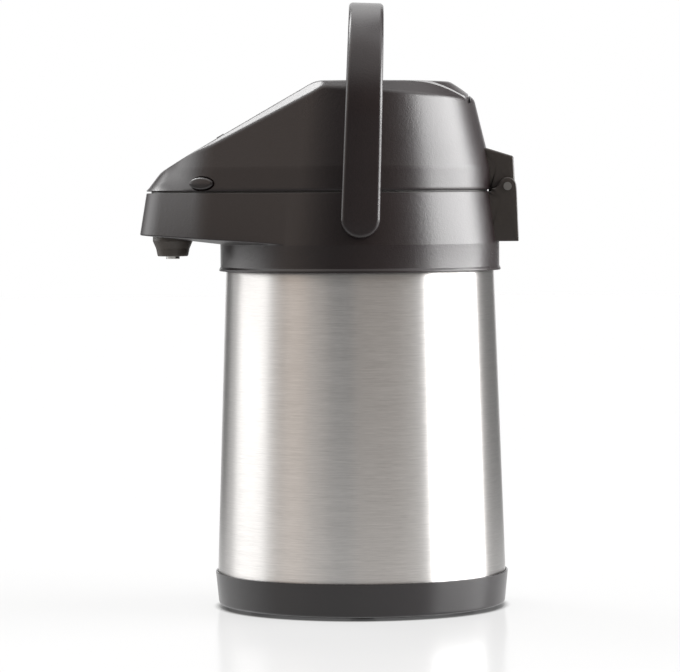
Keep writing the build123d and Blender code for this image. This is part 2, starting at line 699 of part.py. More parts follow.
def spout_nozzle():
    """Bell-shaped nozzle under the nose, held by a collar above the nose's floor."""
    low = CREASE - SPOUT_END_DROP
    floor_top = CREASE + (-SPOUT_Y - UNDERSIDE_START) * math.tan(math.radians(UNDERSIDE_ANGLE))
    bell = turned(
        (0, low),
        (SPOUT_RADIUS_END, low),
        (SPOUT_RADIUS_WAIST, low + SPOUT_WAIST_RISE),
        (SPOUT_RADIUS_TOP, CREASE + SPOUT_BELL_RISE),
        (SPOUT_RADIUS_TOP, CREASE + SPOUT_OVERRUN),
        (0, CREASE + SPOUT_OVERRUN),
    )
    bell = split(Pos(0, SPOUT_Y, 0) * bell, underside_plane(0), keep=Keep.BOTTOM)
    flange_low = floor_top + COLLAR_WALL + SPOUT_FLANGE_CLEAR
    flange_top = flange_low + SPOUT_FLANGE
    nozzle = bell + rod(SPOUT_NECK_RADIUS, CREASE, flange_top, y=SPOUT_Y)
    nozzle += rod(SPOUT_NECK_RADIUS + SPOUT_FLANGE, flange_low, flange_top, y=SPOUT_Y)
    nozzle -= rod(PIPE_RADIUS + FIT, spout_seat(), SPLIT, y=SPOUT_Y)
    return nozzle - rod(TIP_TUBE_RADIUS + FIT, low, SPLIT, y=SPOUT_Y)


def spout_tip():
    """Short steel tube pressed into the nozzle."""
    low = CREASE - SPOUT_END_DROP - TIP_TUBE_PROUD
    outer = rod(TIP_TUBE_RADIUS, low, spout_seat(), y=SPOUT_Y)
    return outer - rod(TIP_TUBE_RADIUS - TIP_TUBE_WALL, low, spout_seat(), y=SPOUT_Y)


def hinge_screw_hole():
    """Bore for one screw between the collar's rear wall and the hinge bracket."""
    bore = rod(SCREW_RADIUS + FIT, 0, HINGE_SCREW_BORE)
    return Pos(ARM_HALF_WIDTH / 2, HINGE_SCREW_START, (CREASE + SPLIT) / 2) * Rot(-90, 0, 0) * bore


def hinge_bracket():
    """Lower half of the hinge, screwed to the back of the collar."""
    foot = CREASE + BRACKET_FOOT
    root = COLLAR_RADIUS_HIGH - HINGE_ROOT
    side = make_face(
        Polyline(
            (root, foot),
            (BRACKET_DEPTH_LOW, foot),
            (BRACKET_DEPTH_TOP, SPLIT),
            (root, SPLIT),
            close=True,
        )
    )
    body = extrude(Plane.YZ * side, BRACKET_HALF_WIDTH, both=True)
    body = fillet(body.edges().filter_by(Axis.Z, tolerance=5).sort_by(Axis.Y)[-2:], BRACKET_EDGE)
    body += cross_rod(KNUCKLE_RADIUS, -BRACKET_HALF_WIDTH, BRACKET_HALF_WIDTH, HINGE_Y, HINGE_Z)
    gap = ARM_HALF_WIDTH + RUN_GAP
    body -= cross_rod(KNUCKLE_RADIUS + RUN_GAP, -gap, gap, HINGE_Y, HINGE_Z)
    body -= cross_rod(HINGE_PIN_RADIUS + FIT, -BRACKET_HALF_WIDTH, BRACKET_HALF_WIDTH, HINGE_Y, HINGE_Z)
    body -= upper_collar_form(0)
    keep_out = block((-gap, gap), (root, LENGTHWISE[1]), (SPLIT, LID_TOP))
    bite_end = Plane.XZ.offset(-COLLAR_RADIUS_HIGH - HINGE_SCREW_BITE)
    bite = split(hinge_screw_hole(), bite_end, keep=Keep.TOP)
    return body - keep_out - both_sides(bite)


def hinge_screws():
    """Screws from inside the collar into the hinge bracket."""
    z = (CREASE + SPLIT) / 2
    wall_in = COLLAR_RADIUS_HIGH - COLLAR_WALL
    screw = rod(SCREW_HEAD_RADIUS, -SCREW_HEAD, 0) + rod(SCREW_RADIUS, 0, HINGE_SCREW_LENGTH)
    return both_sides(Pos(ARM_HALF_WIDTH / 2, wall_in, z) * Rot(-90, 0, 0) * screw)


def hinge_pin():
    """Steel pin through both halves of the hinge, with a small head at each end."""
    pin = cross_rod(HINGE_PIN_RADIUS, -BRACKET_HALF_WIDTH, BRACKET_HALF_WIDTH, HINGE_Y, HINGE_Z)
    head_end = BRACKET_HALF_WIDTH + HINGE_PIN_HEAD_HEIGHT
    head = cross_rod(HINGE_PIN_HEAD, BRACKET_HALF_WIDTH, head_end, HINGE_Y, HINGE_Z)
    return pin + both_sides(head)


def handle_pins():
    """Pins on which the bail swings, one in each boss of the collar."""
    start = COLLAR_RADIUS_HIGH - COLLAR_WALL + PIN_ROOT
    end = BAIL_INNER_HALF + PIVOT_BORE_DEPTH - SOFT_GAP
    return both_sides(cross_rod(PIVOT_PIN_RADIUS, start, end, 0, PIVOT_Z))


def button_frame():
    """Local frame of the right release button: z outwards along its travel, y up."""
    turn = math.radians(BUTTON_ANGLE)
    out = (math.cos(turn), -math.sin(turn), 0)
    along = (math.sin(turn), math.cos(turn), 0)
    return Plane(origin=(button_foot(), BUTTON_Y, BUTTON_Z), x_dir=along, z_dir=out)


def button_foot():
    """Distance of the lid's wall from the plane of symmetry at the button."""
    share = BUTTON_RISE / SKIRT_HEIGHT
    middle = MID_RADIUS - share * SKIRT_LEAN
    return math.sqrt(middle**2 - (BUTTON_Y + MID_OUT) ** 2)


def latch_keepers():
    """Steel clips inside the nose that the hooks of the release buttons catch."""
    drop = BUTTON_Z - SPLIT + HOOK_DROP / 2
    keeper = block(
        (-HOOK_WIDTH / 2, HOOK_WIDTH / 2),
        (-drop - KEEPER_THICK, -drop + KEEPER_THICK),
        (-BUTTON_DEPTH + KEEPER_GAP, 0),
    )
    return both_sides((button_frame() * keeper) & upper_collar_form(COLLAR_WALL))


def roof_form(inset):
    """Everything under the lid's roof: flat top, slope, rear fall, facets and crown edge."""
    tilt = math.radians(SLOPE_ANGLE)
    fall = math.radians(REAR_ANGLE)
    front_rise = (FACET_START - SLOPE_START) * math.tan(tilt)
    cuts = [
        Plane(origin=(0, 0, LID_TOP), z_dir=(0, 0, 1)),
        Plane(origin=(0, -SLOPE_START, LID_TOP), z_dir=(0, -math.sin(tilt), math.cos(tilt))),
        Plane(origin=(0, REAR_START, LID_TOP), z_dir=(0, math.sin(fall), math.cos(fall))),
    ]
    for side in (1, -1):
        front = Vector(side * FACET_HALF_WIDTH_FRONT, -FACET_START, LID_TOP - front_rise)
        back = Vector(side * FACET_HALF_WIDTH_BACK, -SLOPE_START, LID_TOP)
        low = back + Vector(side * FACET_WIDTH, 0, -FACET_DROP)
        normal = (back - front).cross(low - front) * side
        cuts.append(Plane(origin=back, z_dir=normal if normal.Z > 0 else normal * -1))
    roof = block(ACROSS, LENGTHWISE, (SPLIT, ABOVE_ALL))
    for cut in cuts:
        roof = split(roof, cut.offset(-inset), keep=Keep.BOTTOM)
    return roof & crown_cone(inset)


def crown_cone(inset):
    """Cone that bevels the flat top towards the round wall, leaning slightly forward."""
    steep = math.tan(math.radians(CROWN_EDGE_ANGLE))
    above = (ABOVE_ALL - LID_TOP) / 2
    below = ABOVE_ALL - SPLIT
    shift = inset / math.cos(math.radians(CROWN_EDGE_ANGLE))
    cone = Cone(
        CROWN_EDGE_RADIUS + below / steep,
        CROWN_EDGE_RADIUS - above / steep,
        above + below,
        align=(Align.CENTER, Align.CENTER, Align.MIN),
    )
    return Pos(0, 0, LID_TOP - shift) * Rot(-CROWN_TILT, 0, 0) * Pos(0, 0, -below) * cone


def lid_wall_form(inset):
    """Filled form of the lid's wall: an upright skirt below a leaning crown."""
    body = COLLAR_RADIUS_HIGH - inset
    middle = MID_RADIUS - inset
    tip = TIP_RADIUS - inset
    reach = NOSE_REACH - inset
    lean = SKIRT_LEAN + CROWN_LEAN
    sections = [
        nose_outline(LID_LOW, body, middle, tip, reach),
        nose_outline(
            SKIRT_TOP, body - SKIRT_LEAN, middle - SKIRT_LEAN, tip - SKIRT_LEAN, reach - NOSE_RAKE
        ),
        nose_outline(LID_TOP, body - lean, middle - lean, tip - lean, reach - NOSE_RAKE - CROWN_LEAN),
    ]
    return loft(sections, ruled=True)


def lid_form(inset):
    """Filled outer form of the lid."""
    return lid_wall_form(inset) & roof_form(inset)


def plate_prism(grow):
    """Upright prism of the push plate's outline."""
    circles = [Pos(0, 0) * Circle(PLATE_RADIUS + grow)]
    for side in (1, -1):
        front_x = side * (PLATE_FRONT_HALF_WIDTH - PLATE_FRONT_CORNER)
        rear_x = side * (PLATE_REAR_HALF_WIDTH - PLATE_REAR_CORNER)
        front = Pos(front_x, PLATE_FRONT_CORNER - PLATE_FRONT)
        rear = Pos(rear_x, PLATE_REAR - PLATE_REAR_CORNER)
        circles.append(front * Circle(PLATE_FRONT_CORNER + grow))
        circles.append(rear * Circle(PLATE_REAR_CORNER + grow))
    outline = make_hull([edge for circle in circles for edge in circle.edges()])
    return extrude(Pos(0, 0, COVER_TOP) * outline, ABOVE_ALL - COVER_TOP)


def push_plate():
    """Bent plate that the user presses, with a rim, two ears and a catch."""
    plate = plate_prism(0) & roof_form(0)
    plate -= roof_form(PLATE_RIM_DEPTH)
    plate -= plate_prism(-PLATE_RIM_WALL) & roof_form(PLATE_THICK)
    ear_back = PLATE_PIVOT_Y + EAR_RADIUS
    plate -= block(ACROSS, (PLATE_PIVOT_Y, PLATE_REAR), (COVER_TOP, PLATE_PIVOT_Z - PLATE_RELIEF_DROP))
    ear_in = EAR_OFFSET - EAR_THICK / 2
    ear_out = EAR_OFFSET + EAR_THICK / 2
    ear = block((ear_in, ear_out), (PLATE_PIVOT_Y - EAR_RADIUS, ear_back), (PLATE_PIVOT_Z, LID_TOP))
    ear += cross_rod(EAR_RADIUS, ear_in, ear_out, PLATE_PIVOT_Y, PLATE_PIVOT_Z)
    plate += both_sides(ear & roof_form(PLATE_THICK / 2))
    plate -= cross_rod(PLATE_PIN_RADIUS + FIT, *ACROSS, PLATE_PIVOT_Y, PLATE_PIVOT_Z)
    return plate + slope_frame() * plate_catch()


def slope_frame():
    """Local frame on the lid's slope at the lock: y up the slope, z outwards."""
    tilt = math.radians(SLOPE_ANGLE)
    z = LID_TOP + (LOCK_Y + SLOPE_START) * math.tan(tilt)
    return Plane(origin=(0, LOCK_Y, z), x_dir=(1, 0, 0), z_dir=(0, -math.sin(tilt), math.cos(tilt)))


def plate_edge_on_slope():
    """Distance up the slope from the lock to the push plate's front edge."""
    return (-PLATE_FRONT - LOCK_Y) / math.cos(math.radians(SLOPE_ANGLE))


def plate_catch():
    """Small catch on the plate's front rim that stops under the lid's roof."""
    edge = plate_edge_on_slope()
    top = -LID_WALL - RUN_GAP
    return block(
        (-LOCK_TRAVEL, CATCH_WIDTH - LOCK_TRAVEL),
        (edge - CATCH_REACH, edge + PLATE_RIM_WALL),
        (top - CATCH_THICK, top),
    )


def press_pad():
    """Pressing board under the push plate that bears on the bellows."""
    board_top = BELLOWS_TOP + PAD_HEAD_THICK
    board = rod(PAD_HEAD_RADIUS, BELLOWS_TOP, board_top, y=PUMP_Y)
    long = PAD_HEAD_RADIUS - PAD_WEB_SETBACK
    web = block((-PAD_WEB_HALF, PAD_WEB_HALF), (-long, long), (board_top, LID_TOP))
    webs = Pos(0, PUMP_Y, 0) * (web + Rot(0, 0, 90) * web)
    return board + (webs & roof_form(PLATE_THICK))


def plate_pivot_pin():
    """Pin that the push plate rocks on."""
    end = cheek_start() + RIB_THICK
    return cross_rod(PLATE_PIN_RADIUS, -end, end, PLATE_PIVOT_Y, PLATE_PIVOT_Z)


def cheek_start():
    """Distance of the pivot cheeks from the plane of symmetry."""
    return PLATE_REAR_HALF_WIDTH + PLATE_GAP + CHEEK_CLEAR


def lid_ribs():
    """Ribs inside the lid: pivot cheeks, screw bosses and spring posts."""
    cheek = block(
        (cheek_start(), cheek_start() + RIB_THICK),
        (PLATE_PIVOT_Y - CHEEK_FRONT, PLATE_PIVOT_Y + CHEEK_BACK),
        (PLATE_PIVOT_Z - CHEEK_DROP, LID_TOP),
    )
    boss = rod(LID_BOSS_RADIUS, COVER_TOP, LID_TOP, x=LID_SCREW_X, y=LID_SCREW_Y)
    front_boss = rod(LID_BOSS_RADIUS, COVER_TOP, LID_TOP, x=LID_SCREW_X, y=-LID_SCREW_Y)
    post_low = COVER_TOP - BUTTON_Z + RUN_GAP
    post = block((-SPRING_POST_HALF, SPRING_POST_HALF), (post_low, CROWN_HEIGHT), (-RIB_THICK, 0))
    ribs = cheek + boss + front_boss + button_frame() * Pos(0, 0, -SPRING_POST_DEPTH) * post
    return both_sides(ribs & lid_form(LID_WALL / 2))


def button_profile(grow, low, high):
    """Elliptical bar along a button's travel, in the button's frame."""
    face = Ellipse(BUTTON_HALF_LONG + grow, BUTTON_HALF_HIGH + grow)
    return Pos(0, 0, low) * extrude(face, high - low)


def lid_shell():
    """Moulded outer lid, open below, with its window for the push plate."""
    shell = lid_form(0) - lid_form(LID_WALL) + lid_ribs()
    shell -= plate_prism(PLATE_GAP)
    return finish_lid(shell)


def finish_lid(shell):
    """Holes in the lid for buttons, lock, pins and screws."""
    hole = button_frame() * button_profile(BUTTON_GAP, -BUTTON_DEPTH - BUTTON_HOLE_SPARE, BUTTON_DEPTH)
    shell -= both_sides(hole)
    slot = block(
        (-LOCK_SLOT_HALF, LOCK_SLOT_HALF),
        (-LOCK_SLOT_HIGH, LOCK_SLOT_HIGH),
        (-LOCK_SLOT_DEPTH, LOCK_SLOT_DEPTH),
    )
    shell -= slope_frame() * fillet(slot.edges().filter_by(Axis.Z), LOCK_SLOT_CORNER)
    end = cheek_start() + RIB_THICK + FIT
    shell -= cross_rod(PLATE_PIN_RADIUS + FIT, -end, end, PLATE_PIVOT_Y, PLATE_PIVOT_Z)
    for y in (LID_SCREW_Y, -LID_SCREW_Y):
        bore_top = COVER_TOP + LID_SCREW_BORE
        shell -= both_sides(rod(SCREW_RADIUS + FIT, COVER_TOP, bore_top, x=LID_SCREW_X, y=y))
    return shell - both_sides(arm_screw_hole())


def lid_cover():
    """Inner cover that closes the lid from below, with the air outlet boss."""
    fit = LID_WALL + COVER_GAP
    outline = lid_wall_form(fit)
    cover = outline & block(ACROSS, LENGTHWISE, (COVER_LOW, COVER_TOP))
    boss_low = FLANGE_TOP + SOFT_GAP + OUTLET_SEAL_HEIGHT
    cover += rod(BOSS_RADIUS, boss_low, COVER_LOW, y=PUMP_Y)
    cover -= rod(BOSS_RADIUS - BOSS_WALL, boss_low + BOSS_WALL, COVER_TOP, y=PUMP_Y)
    cover -= rod(PORT_RADIUS + FIT, boss_low, COVER_TOP, y=PUMP_Y)
    half_long, half_high = HOOK_ROOM_HALF
    room = block((-half_long, half_long), (-half_high, half_high), (-SPRING_POST_DEPTH, CROWN_HEIGHT))
    cover -= both_sides(button_frame() * room)
    for y in (LID_SCREW_Y, -LID_SCREW_Y):
        cover -= both_sides(rod(SCREW_RADIUS + FIT, COVER_LOW, COVER_TOP, x=LID_SCREW_X, y=y))
        seat = rod(SCREW_HEAD_RADIUS + FIT, COVER_LOW, COVER_LOW + SCREW_HEAD, x=LID_SCREW_X, y=y)
        cover -= both_sides(seat)
    return cover


def lid_screws():
    """Screws that hold the inner cover in the lid."""
    screws = Part()
    for y in (LID_SCREW_Y, -LID_SCREW_Y):
        head = rod(SCREW_HEAD_RADIUS, COVER_LOW, COVER_LOW + SCREW_HEAD, x=LID_SCREW_X, y=y)
        shank_top = COVER_TOP + LID_SCREW_LENGTH
        shank = rod(SCREW_RADIUS, COVER_LOW + SCREW_HEAD, shank_top, x=LID_SCREW_X, y=y)
        screws += both_sides(head + shank)
    return screws


def arm_screw_hole():
    """Bore for one screw between the lid's rear wall and its hinge arm."""
    z = SKIRT_TOP - ARM_SCREW_DROP
    bore = rod(SCREW_RADIUS + FIT, 0, ARM_SCREW_BORE)
    return Pos(ARM_HALF_WIDTH / 2, HINGE_SCREW_START, z) * Rot(-90, 0, 0) * bore


def lid_hinge_arm():
    """Upper half of the hinge, screwed to the back of the lid."""
    low = LID_LOW + RUN_GAP
    side = make_face(
        Polyline(
            (ARM_CREST_Y - ARM_ROOT, low),
            (ARM_DEPTH_LOW, low),
            (ARM_DEPTH_TOP, low + ARM_HEIGHT),
            (ARM_CREST_Y, low + ARM_HEIGHT + ARM_CREST_RISE),
            (ARM_CREST_Y - ARM_ROOT, low + ARM_HEIGHT + ARM_CREST_RISE),
            close=True,
        )
    )
    body = extrude(Plane.YZ * side, ARM_HALF_WIDTH, both=True)
    body -= lid_wall_form(0)
    body -= cross_rod(HINGE_PIN_RADIUS + FIT, -ARM_HALF_WIDTH, ARM_HALF_WIDTH, HINGE_Y, HINGE_Z)
    bite_end = Plane.XZ.offset(-COLLAR_RADIUS_HIGH - ARM_SCREW_BITE)
    bite = split(arm_screw_hole(), bite_end, keep=Keep.TOP)
    return body - both_sides(bite)


def hinge_arm_screws():
    """Screws from inside the lid into the hinge arm."""
    wall_in = COLLAR_RADIUS_HIGH - SKIRT_LEAN - LID_WALL - ARM_HEAD_GAP
    screw = rod(SCREW_HEAD_RADIUS, -SCREW_HEAD, 0) + rod(SCREW_RADIUS, 0, ARM_SCREW_LENGTH)
    place = Pos(ARM_HALF_WIDTH / 2, wall_in, SKIRT_TOP - ARM_SCREW_DROP) * Rot(-90, 0, 0)
    return both_sides(place * screw)


def bellows():
    """Folded rubber bellows between the valve seat and the pressing board."""
    low = SEAT_TOP + SOFT_GAP
    high = BELLOWS_TOP - SOFT_GAP
    pitch = (high - low) / BELLOWS_FOLDS
    outer = []
    for index in range(BELLOWS_FOLDS):
        outer.append((BELLOWS_RADIUS - BELLOWS_FOLD, low + index * pitch))
        outer.append((BELLOWS_RADIUS, low + (index + 0.5) * pitch))
    outer.append((BELLOWS_RADIUS - BELLOWS_FOLD, high))
    inner = [(radius - BELLOWS_WALL, z) for radius, z in reversed(outer)]
    return Pos(0, PUMP_Y, 0) * turned(*outer, *inner)


def bellows_spring():
    """Coil spring inside the bellows that lifts the push plate again."""
    low = SEAT_TOP + SOFT_GAP + SPRING_WIRE
    high = BELLOWS_TOP - SOFT_GAP - SPRING_WIRE
    return coil(SPRING_RADIUS, SPRING_WIRE, SPRING_TURNS, low, high, PUMP_Y)


def coil(radius, wire, turns, low, high, y):
    """A wire coil of round section about an upright axis."""
    path = Helix(pitch=(high - low) / turns, height=high - low, radius=radius)
    start = Plane(origin=path @ 0, z_dir=path % 0)
    return Pos(0, y, low) * sweep(start * Circle(wire), path=path, is_frenet=True)


def bellows_base():
    """Valve seat under the bellows, with the air port that leads down through the cover."""
    low = FLANGE_TOP + SOFT_GAP + OUTLET_SEAL_HEIGHT
    seat = rod(SEAT_RADIUS, COVER_TOP, SEAT_TOP, y=PUMP_Y)
    seat += rod(PORT_RADIUS, low, COVER_TOP, y=PUMP_Y)
    return seat - rod(PORT_RADIUS - PORT_WALL, low, SEAT_TOP, y=PUMP_Y)


def intake_flap():
    """Soft disc that covers the air port's mouth inside the bellows."""
    return rod(PORT_RADIUS + FLAP_OVERLAP, SEAT_TOP, SEAT_TOP + FLAP_THICK, y=PUMP_Y)


def outlet_seal():
    """Rubber ring that meets the stopper when the lid is shut."""
    low = FLANGE_TOP + SOFT_GAP
    outer = BOSS_RADIUS - FLAP_THICK
    ring = rod(outer, low, low + OUTLET_SEAL_HEIGHT, y=PUMP_Y)
    return ring - rod(outer - OUTLET_SEAL_WIDTH, low, low + OUTLET_SEAL_HEIGHT, y=PUMP_Y)


def release_button():
    """Oval button with a flange behind the wall and a hook that hangs into the collar."""
    cap = button_profile(0, -BUTTON_DEPTH, BUTTON_PROUD)
    top_edges = cap.edges().sort_by(Axis.Z)[-1]
    cap = fillet(top_edges, BUTTON_EDGE)
    flange = block(
        (-BUTTON_HALF_LONG - BUTTON_FLANGE_LAP, BUTTON_HALF_LONG + BUTTON_FLANGE_LAP),
        (COVER_LOW - BUTTON_Z, BUTTON_HALF_HIGH + BUTTON_FLANGE_LAP),
        (-BUTTON_DEPTH - BUTTON_FLANGE, -BUTTON_DEPTH),
    )
    hook_top = COVER_LOW - BUTTON_Z
    hook = block(
        (-HOOK_WIDTH / 2, HOOK_WIDTH / 2),
        (hook_top - HOOK_DROP, hook_top),
        (-BUTTON_DEPTH - HOOK_THICK, -BUTTON_DEPTH),
    )
    return button_frame() * (cap + flange + hook)


def release_spring():
    """Small coil between the right release button and its post."""
    low = RELEASE_WIRE + WASHER_GAP - SPRING_POST_DEPTH
    high = -BUTTON_DEPTH - BUTTON_FLANGE - RELEASE_WIRE - WASHER_GAP
    return button_frame() * coil(RELEASE_RADIUS, RELEASE_WIRE, RELEASE_TURNS, low, high, 0)


def mirrored(solid):
    """The left-hand twin of a right-hand piece."""
    return mirror(solid, Plane.YZ)


def lock_slider():
    """Travel lock: a knob on the slope with a tongue that goes under the plate's catch."""
    under = -LID_WALL - RUN_GAP / 2
    centre = LOCK_TRAVEL / 2
    knob = block(
        (centre - LOCK_KNOB_HALF, centre + LOCK_KNOB_HALF),
        (-LOCK_SLOT_HIGH + RUN_GAP, LOCK_SLOT_HIGH - RUN_GAP),
        (under - LOCK_WING_THICK, LOCK_PROUD),
    )
    knob = fillet(knob.edges().filter_by(Axis.Z), LOCK_KNOB_CORNER)
    half_x, half_y = LOCK_WING_HALF
    wing = block((centre - half_x, centre + half_x), (-half_y, half_y), (under - LOCK_WING_THICK, under))
    tongue_top = -LID_WALL - 2 * RUN_GAP - CATCH_THICK
    tongue_low = tongue_top - TONGUE_THICK
    tongue_end = plate_edge_on_slope() - TONGUE_SHORT
    step = block((0, CATCH_WIDTH), (TONGUE_START, half_y), (tongue_low, under))
    tongue = block((0, CATCH_WIDTH), (TONGUE_START, tongue_end), (tongue_low, tongue_top))
    return slope_frame() * (knob + wing + step + tongue)


def bail_side_width(height):
    """Width of the bail's arm at a height above its pivot."""
    share = height / (BAIL_REACH + BAIL_THICK)
    return BAIL_WIDTH_LOW + share * (BAIL_WIDTH_TOP - BAIL_WIDTH_LOW)


def handle_bail():
    """Bail handle: one strap from pivot to pivot, with round ends and softened edges."""
    arch = bail_arch(BAIL_THICK) - bail_arch(0)
    top = BAIL_REACH + BAIL_THICK
    low_half = BAIL_WIDTH_LOW / 2
    top_half = BAIL_WIDTH_TOP / 2
    strap = make_face(
        Polyline((-low_half, 0), (low_half, 0), (top_half, top), (-top_half, top), close=True)
    )
    strap += Circle(low_half)
    bail = arch & extrude(Plane.YZ * strap, BAIL_INNER_HALF + BAIL_THICK, both=True)
    bail = fillet(bail.edges().filter_by(lambda edge: not is_cross_edge(edge)), BAIL_EDGE)
    bore_end = BAIL_INNER_HALF + PIVOT_BORE_DEPTH
    bail -= both_sides(cross_rod(PIVOT_PIN_RADIUS + FIT, BAIL_INNER_HALF, bore_end, 0, 0))
    return Pos(0, 0, PIVOT_Z) * Rot(-BAIL_LEAN, 0, 0) * bail


def is_cross_edge(edge):
    """True for the short edges that run through the strap's thickness."""
    return edge.length < BAIL_THICK * 1.5


def bail_arch(grow):
    """Filled arch of the bail seen from the front, grown by the strap's thickness."""
    half = BAIL_INNER_HALF + grow
    top = BAIL_REACH + grow
    corner = BAIL_CORNER + grow
    width = BAIL_WIDTH_LOW
    face = make_face(
        Polyline((-half, -width), (half, -width), (half, top), (-half, top), close=True)
    )
    corners = face.vertices().sort_by(Axis.Y)[-2:]
    return extrude(Plane.XZ * fillet(corners, corner), width, both=True)


def pivot_washers():
    """Friction washers between the bail's arms and the collar's bosses."""
    start = BAIL_INNER_HALF - WASHER_THICK
    outer = cross_rod(PIVOT_BOSS_RADIUS - WASHER_SETBACK, start, BAIL_INNER_HALF, 0, PIVOT_Z)
    inner = cross_rod(PIVOT_PIN_RADIUS + FIT, start, BAIL_INNER_HALF, 0, PIVOT_Z)
    return both_sides(outer - inner)


PARTS = {
    "foot_pads": foot_pads,
    "swivel_plate": swivel_plate,
    "glide_ring": glide_ring,
    "swivel_screw": swivel_screw,
    "base_cup": base_cup,
    "base_standoffs": base_standoffs,
    "base_screws": base_screws,
    "outer_shell": outer_shell,
    "shell_bottom": shell_bottom,
    "inner_liner": inner_liner,
    "liner_bottom": liner_bottom,
    "neck_ring": neck_ring,
    "collar": collar,
    "collar_nut": collar_nut,
    "mouth_gasket": mouth_gasket,
    "tube_flange": tube_flange,
    "plug_seal": plug_seal,
    "dip_tube": dip_tube,
    "pour_elbow": pour_elbow,
    "pipe_seal": pipe_seal,
    "pour_pipe": pour_pipe,
    "spout_nozzle": spout_nozzle,
    "spout_tip": spout_tip,
    "hinge_bracket": hinge_bracket,
    "hinge_screws": hinge_screws,
    "hinge_pin": hinge_pin,
    "handle_pins": handle_pins,
    "latch_keepers": latch_keepers,
    "lid_shell": lid_shell,
    "lid_cover": lid_cover,
    "lid_screws": lid_screws,
    "lid_hinge_arm": lid_hinge_arm,
    "hinge_arm_screws": hinge_arm_screws,
    "push_plate": push_plate,
    "press_pad": press_pad,
    "plate_pivot_pin": plate_pivot_pin,
    "bellows": bellows,
    "bellows_spring": bellows_spring,
    "bellows_base": bellows_base,
    "intake_flap": intake_flap,
    "outlet_seal": outlet_seal,
    "release_button_right": release_button,
    "release_button_left": lambda: mirrored(release_button()),
    "release_spring_right": release_spring,
    "release_spring_left": lambda: mirrored(release_spring()),
    "lock_slider": lock_slider,
    "handle_bail": handle_bail,
    "pivot_washers": pivot_washers,
}


def main():
    """Build every piece and write it to its own file."""
    os.makedirs("parts", exist_ok=True)
    for name, build in PARTS.items():
        export_step(build(), f"parts/{name}.step")


main()
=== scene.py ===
"""Dresses a packed airpot: steel vessel, moulded collar, pump lid, bail handle and swivel foot.

Sizes are in millimetres and are turned into metres when a mesh is made. Z is up, the axis of
the vessel is X = Y = 0, the spout points along -Y and the lid's hinge is at +Y.
"""

import json
import logging
import math
from dataclasses import dataclass
from enum import Enum
from typing import Callable, Optional, Sequence

import bpy
import numpy as np
from numpy.typing import NDArray
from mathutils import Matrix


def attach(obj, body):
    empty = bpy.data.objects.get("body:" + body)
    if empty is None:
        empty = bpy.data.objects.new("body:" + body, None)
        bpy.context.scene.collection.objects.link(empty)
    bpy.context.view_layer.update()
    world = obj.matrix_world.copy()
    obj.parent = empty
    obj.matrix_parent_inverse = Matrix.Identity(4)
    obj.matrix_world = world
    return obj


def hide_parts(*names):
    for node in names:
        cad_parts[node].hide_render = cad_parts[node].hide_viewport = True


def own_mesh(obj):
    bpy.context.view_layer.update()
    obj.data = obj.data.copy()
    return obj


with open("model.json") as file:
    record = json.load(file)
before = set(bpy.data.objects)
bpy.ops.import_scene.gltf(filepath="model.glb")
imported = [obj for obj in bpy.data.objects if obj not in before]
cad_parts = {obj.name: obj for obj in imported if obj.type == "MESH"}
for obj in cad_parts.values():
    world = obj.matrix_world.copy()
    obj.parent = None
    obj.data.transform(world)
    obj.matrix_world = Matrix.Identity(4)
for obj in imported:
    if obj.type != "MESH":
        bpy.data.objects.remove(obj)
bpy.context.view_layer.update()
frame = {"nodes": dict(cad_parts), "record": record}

Array = NDArray[np.float64]
Field = Callable[[Array, Array, Array], Array]

MM = 0.001
TAU = 2.0 * math.pi
MERGE = 1e-6
TINY = 1e-9
FAR = 1e9
SAME_POINT = 1e-4
SHARP_DEGREES = 35.0
LONGEST_ROUNDING = 0.46
STRAIGHTEST_COSINE = 0.999
HULL_NORMALS = 2160
FLATTEST_COSINE = 0.03
OUTLINE_POINTS = 2881
HALVINGS = 26
END_SHARES = (0.7, 0.4, 0.15, 0.0)
SIDES = ((1, "right"), (-1, "left"))
WHITE = (1.0, 1.0, 1.0, 1.0)
LOG = logging.getLogger("airpot")


class Body(Enum):
    """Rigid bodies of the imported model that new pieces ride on."""

    POT = "pot"
    LID = "lid"
    PLATE = "pump_plate"
    BUTTON_RIGHT = "button_right"
    BUTTON_LEFT = "button_left"
    HANDLE = "handle"


class Slot(Enum):
    """Material slots of the record."""

    BODY = "body_plastic"
    BASE = "base_plastic"
    TRIM = "trim_plastic"
    INNER = "inner_plastic"
    SLICK = "slick_plastic"
    SHELL = "brushed_shell"
    LINER = "inner_steel"
    TUBE = "tube_steel"
    SCREW = "screw_steel"
    SPRING = "spring_steel"
    RUBBER = "soft_rubber"
    BELLOWS = "bellows_rubber"


# Surfaces
def weave(name: str, points: Array, along: bool = False) -> bpy.types.Object:
    """Makes a mesh object from a grid of points in millimetres.

    Rows run along a profile and columns run around it, so the last column joins the first.
    Each quad joins point (i, j) with (i, j + 1), (i + 1, j + 1) and (i + 1, j). Points that
    fall together become one vertex, so poles and seams close.

    Args:
        name: Name of the object.
        points: Array of shape (rows, columns, 3).
        along: True if the last row joins the first.

    Returns:
        The new object, linked to the scene.
    """
    rows, columns = points.shape[:2]
    index = np.arange(rows * columns).reshape(rows, columns)
    index = np.concatenate([index, index[:, :1]], axis=1)
    if along:
        index = np.concatenate([index, index[:1]], axis=0)
    quads = np.stack([index[:-1, :-1], index[:-1, 1:], index[1:, 1:], index[1:, :-1]], axis=-1)
    flat = points.reshape(-1, 3) * MM
    cells = np.round(flat / MERGE).astype(np.int64)
    _, first, inverse = np.unique(cells, axis=0, return_index=True, return_inverse=True)
    quads = inverse.reshape(-1)[quads.reshape(-1, 4)]
    return mesh_object(name, flat[first], tidy_faces(quads))


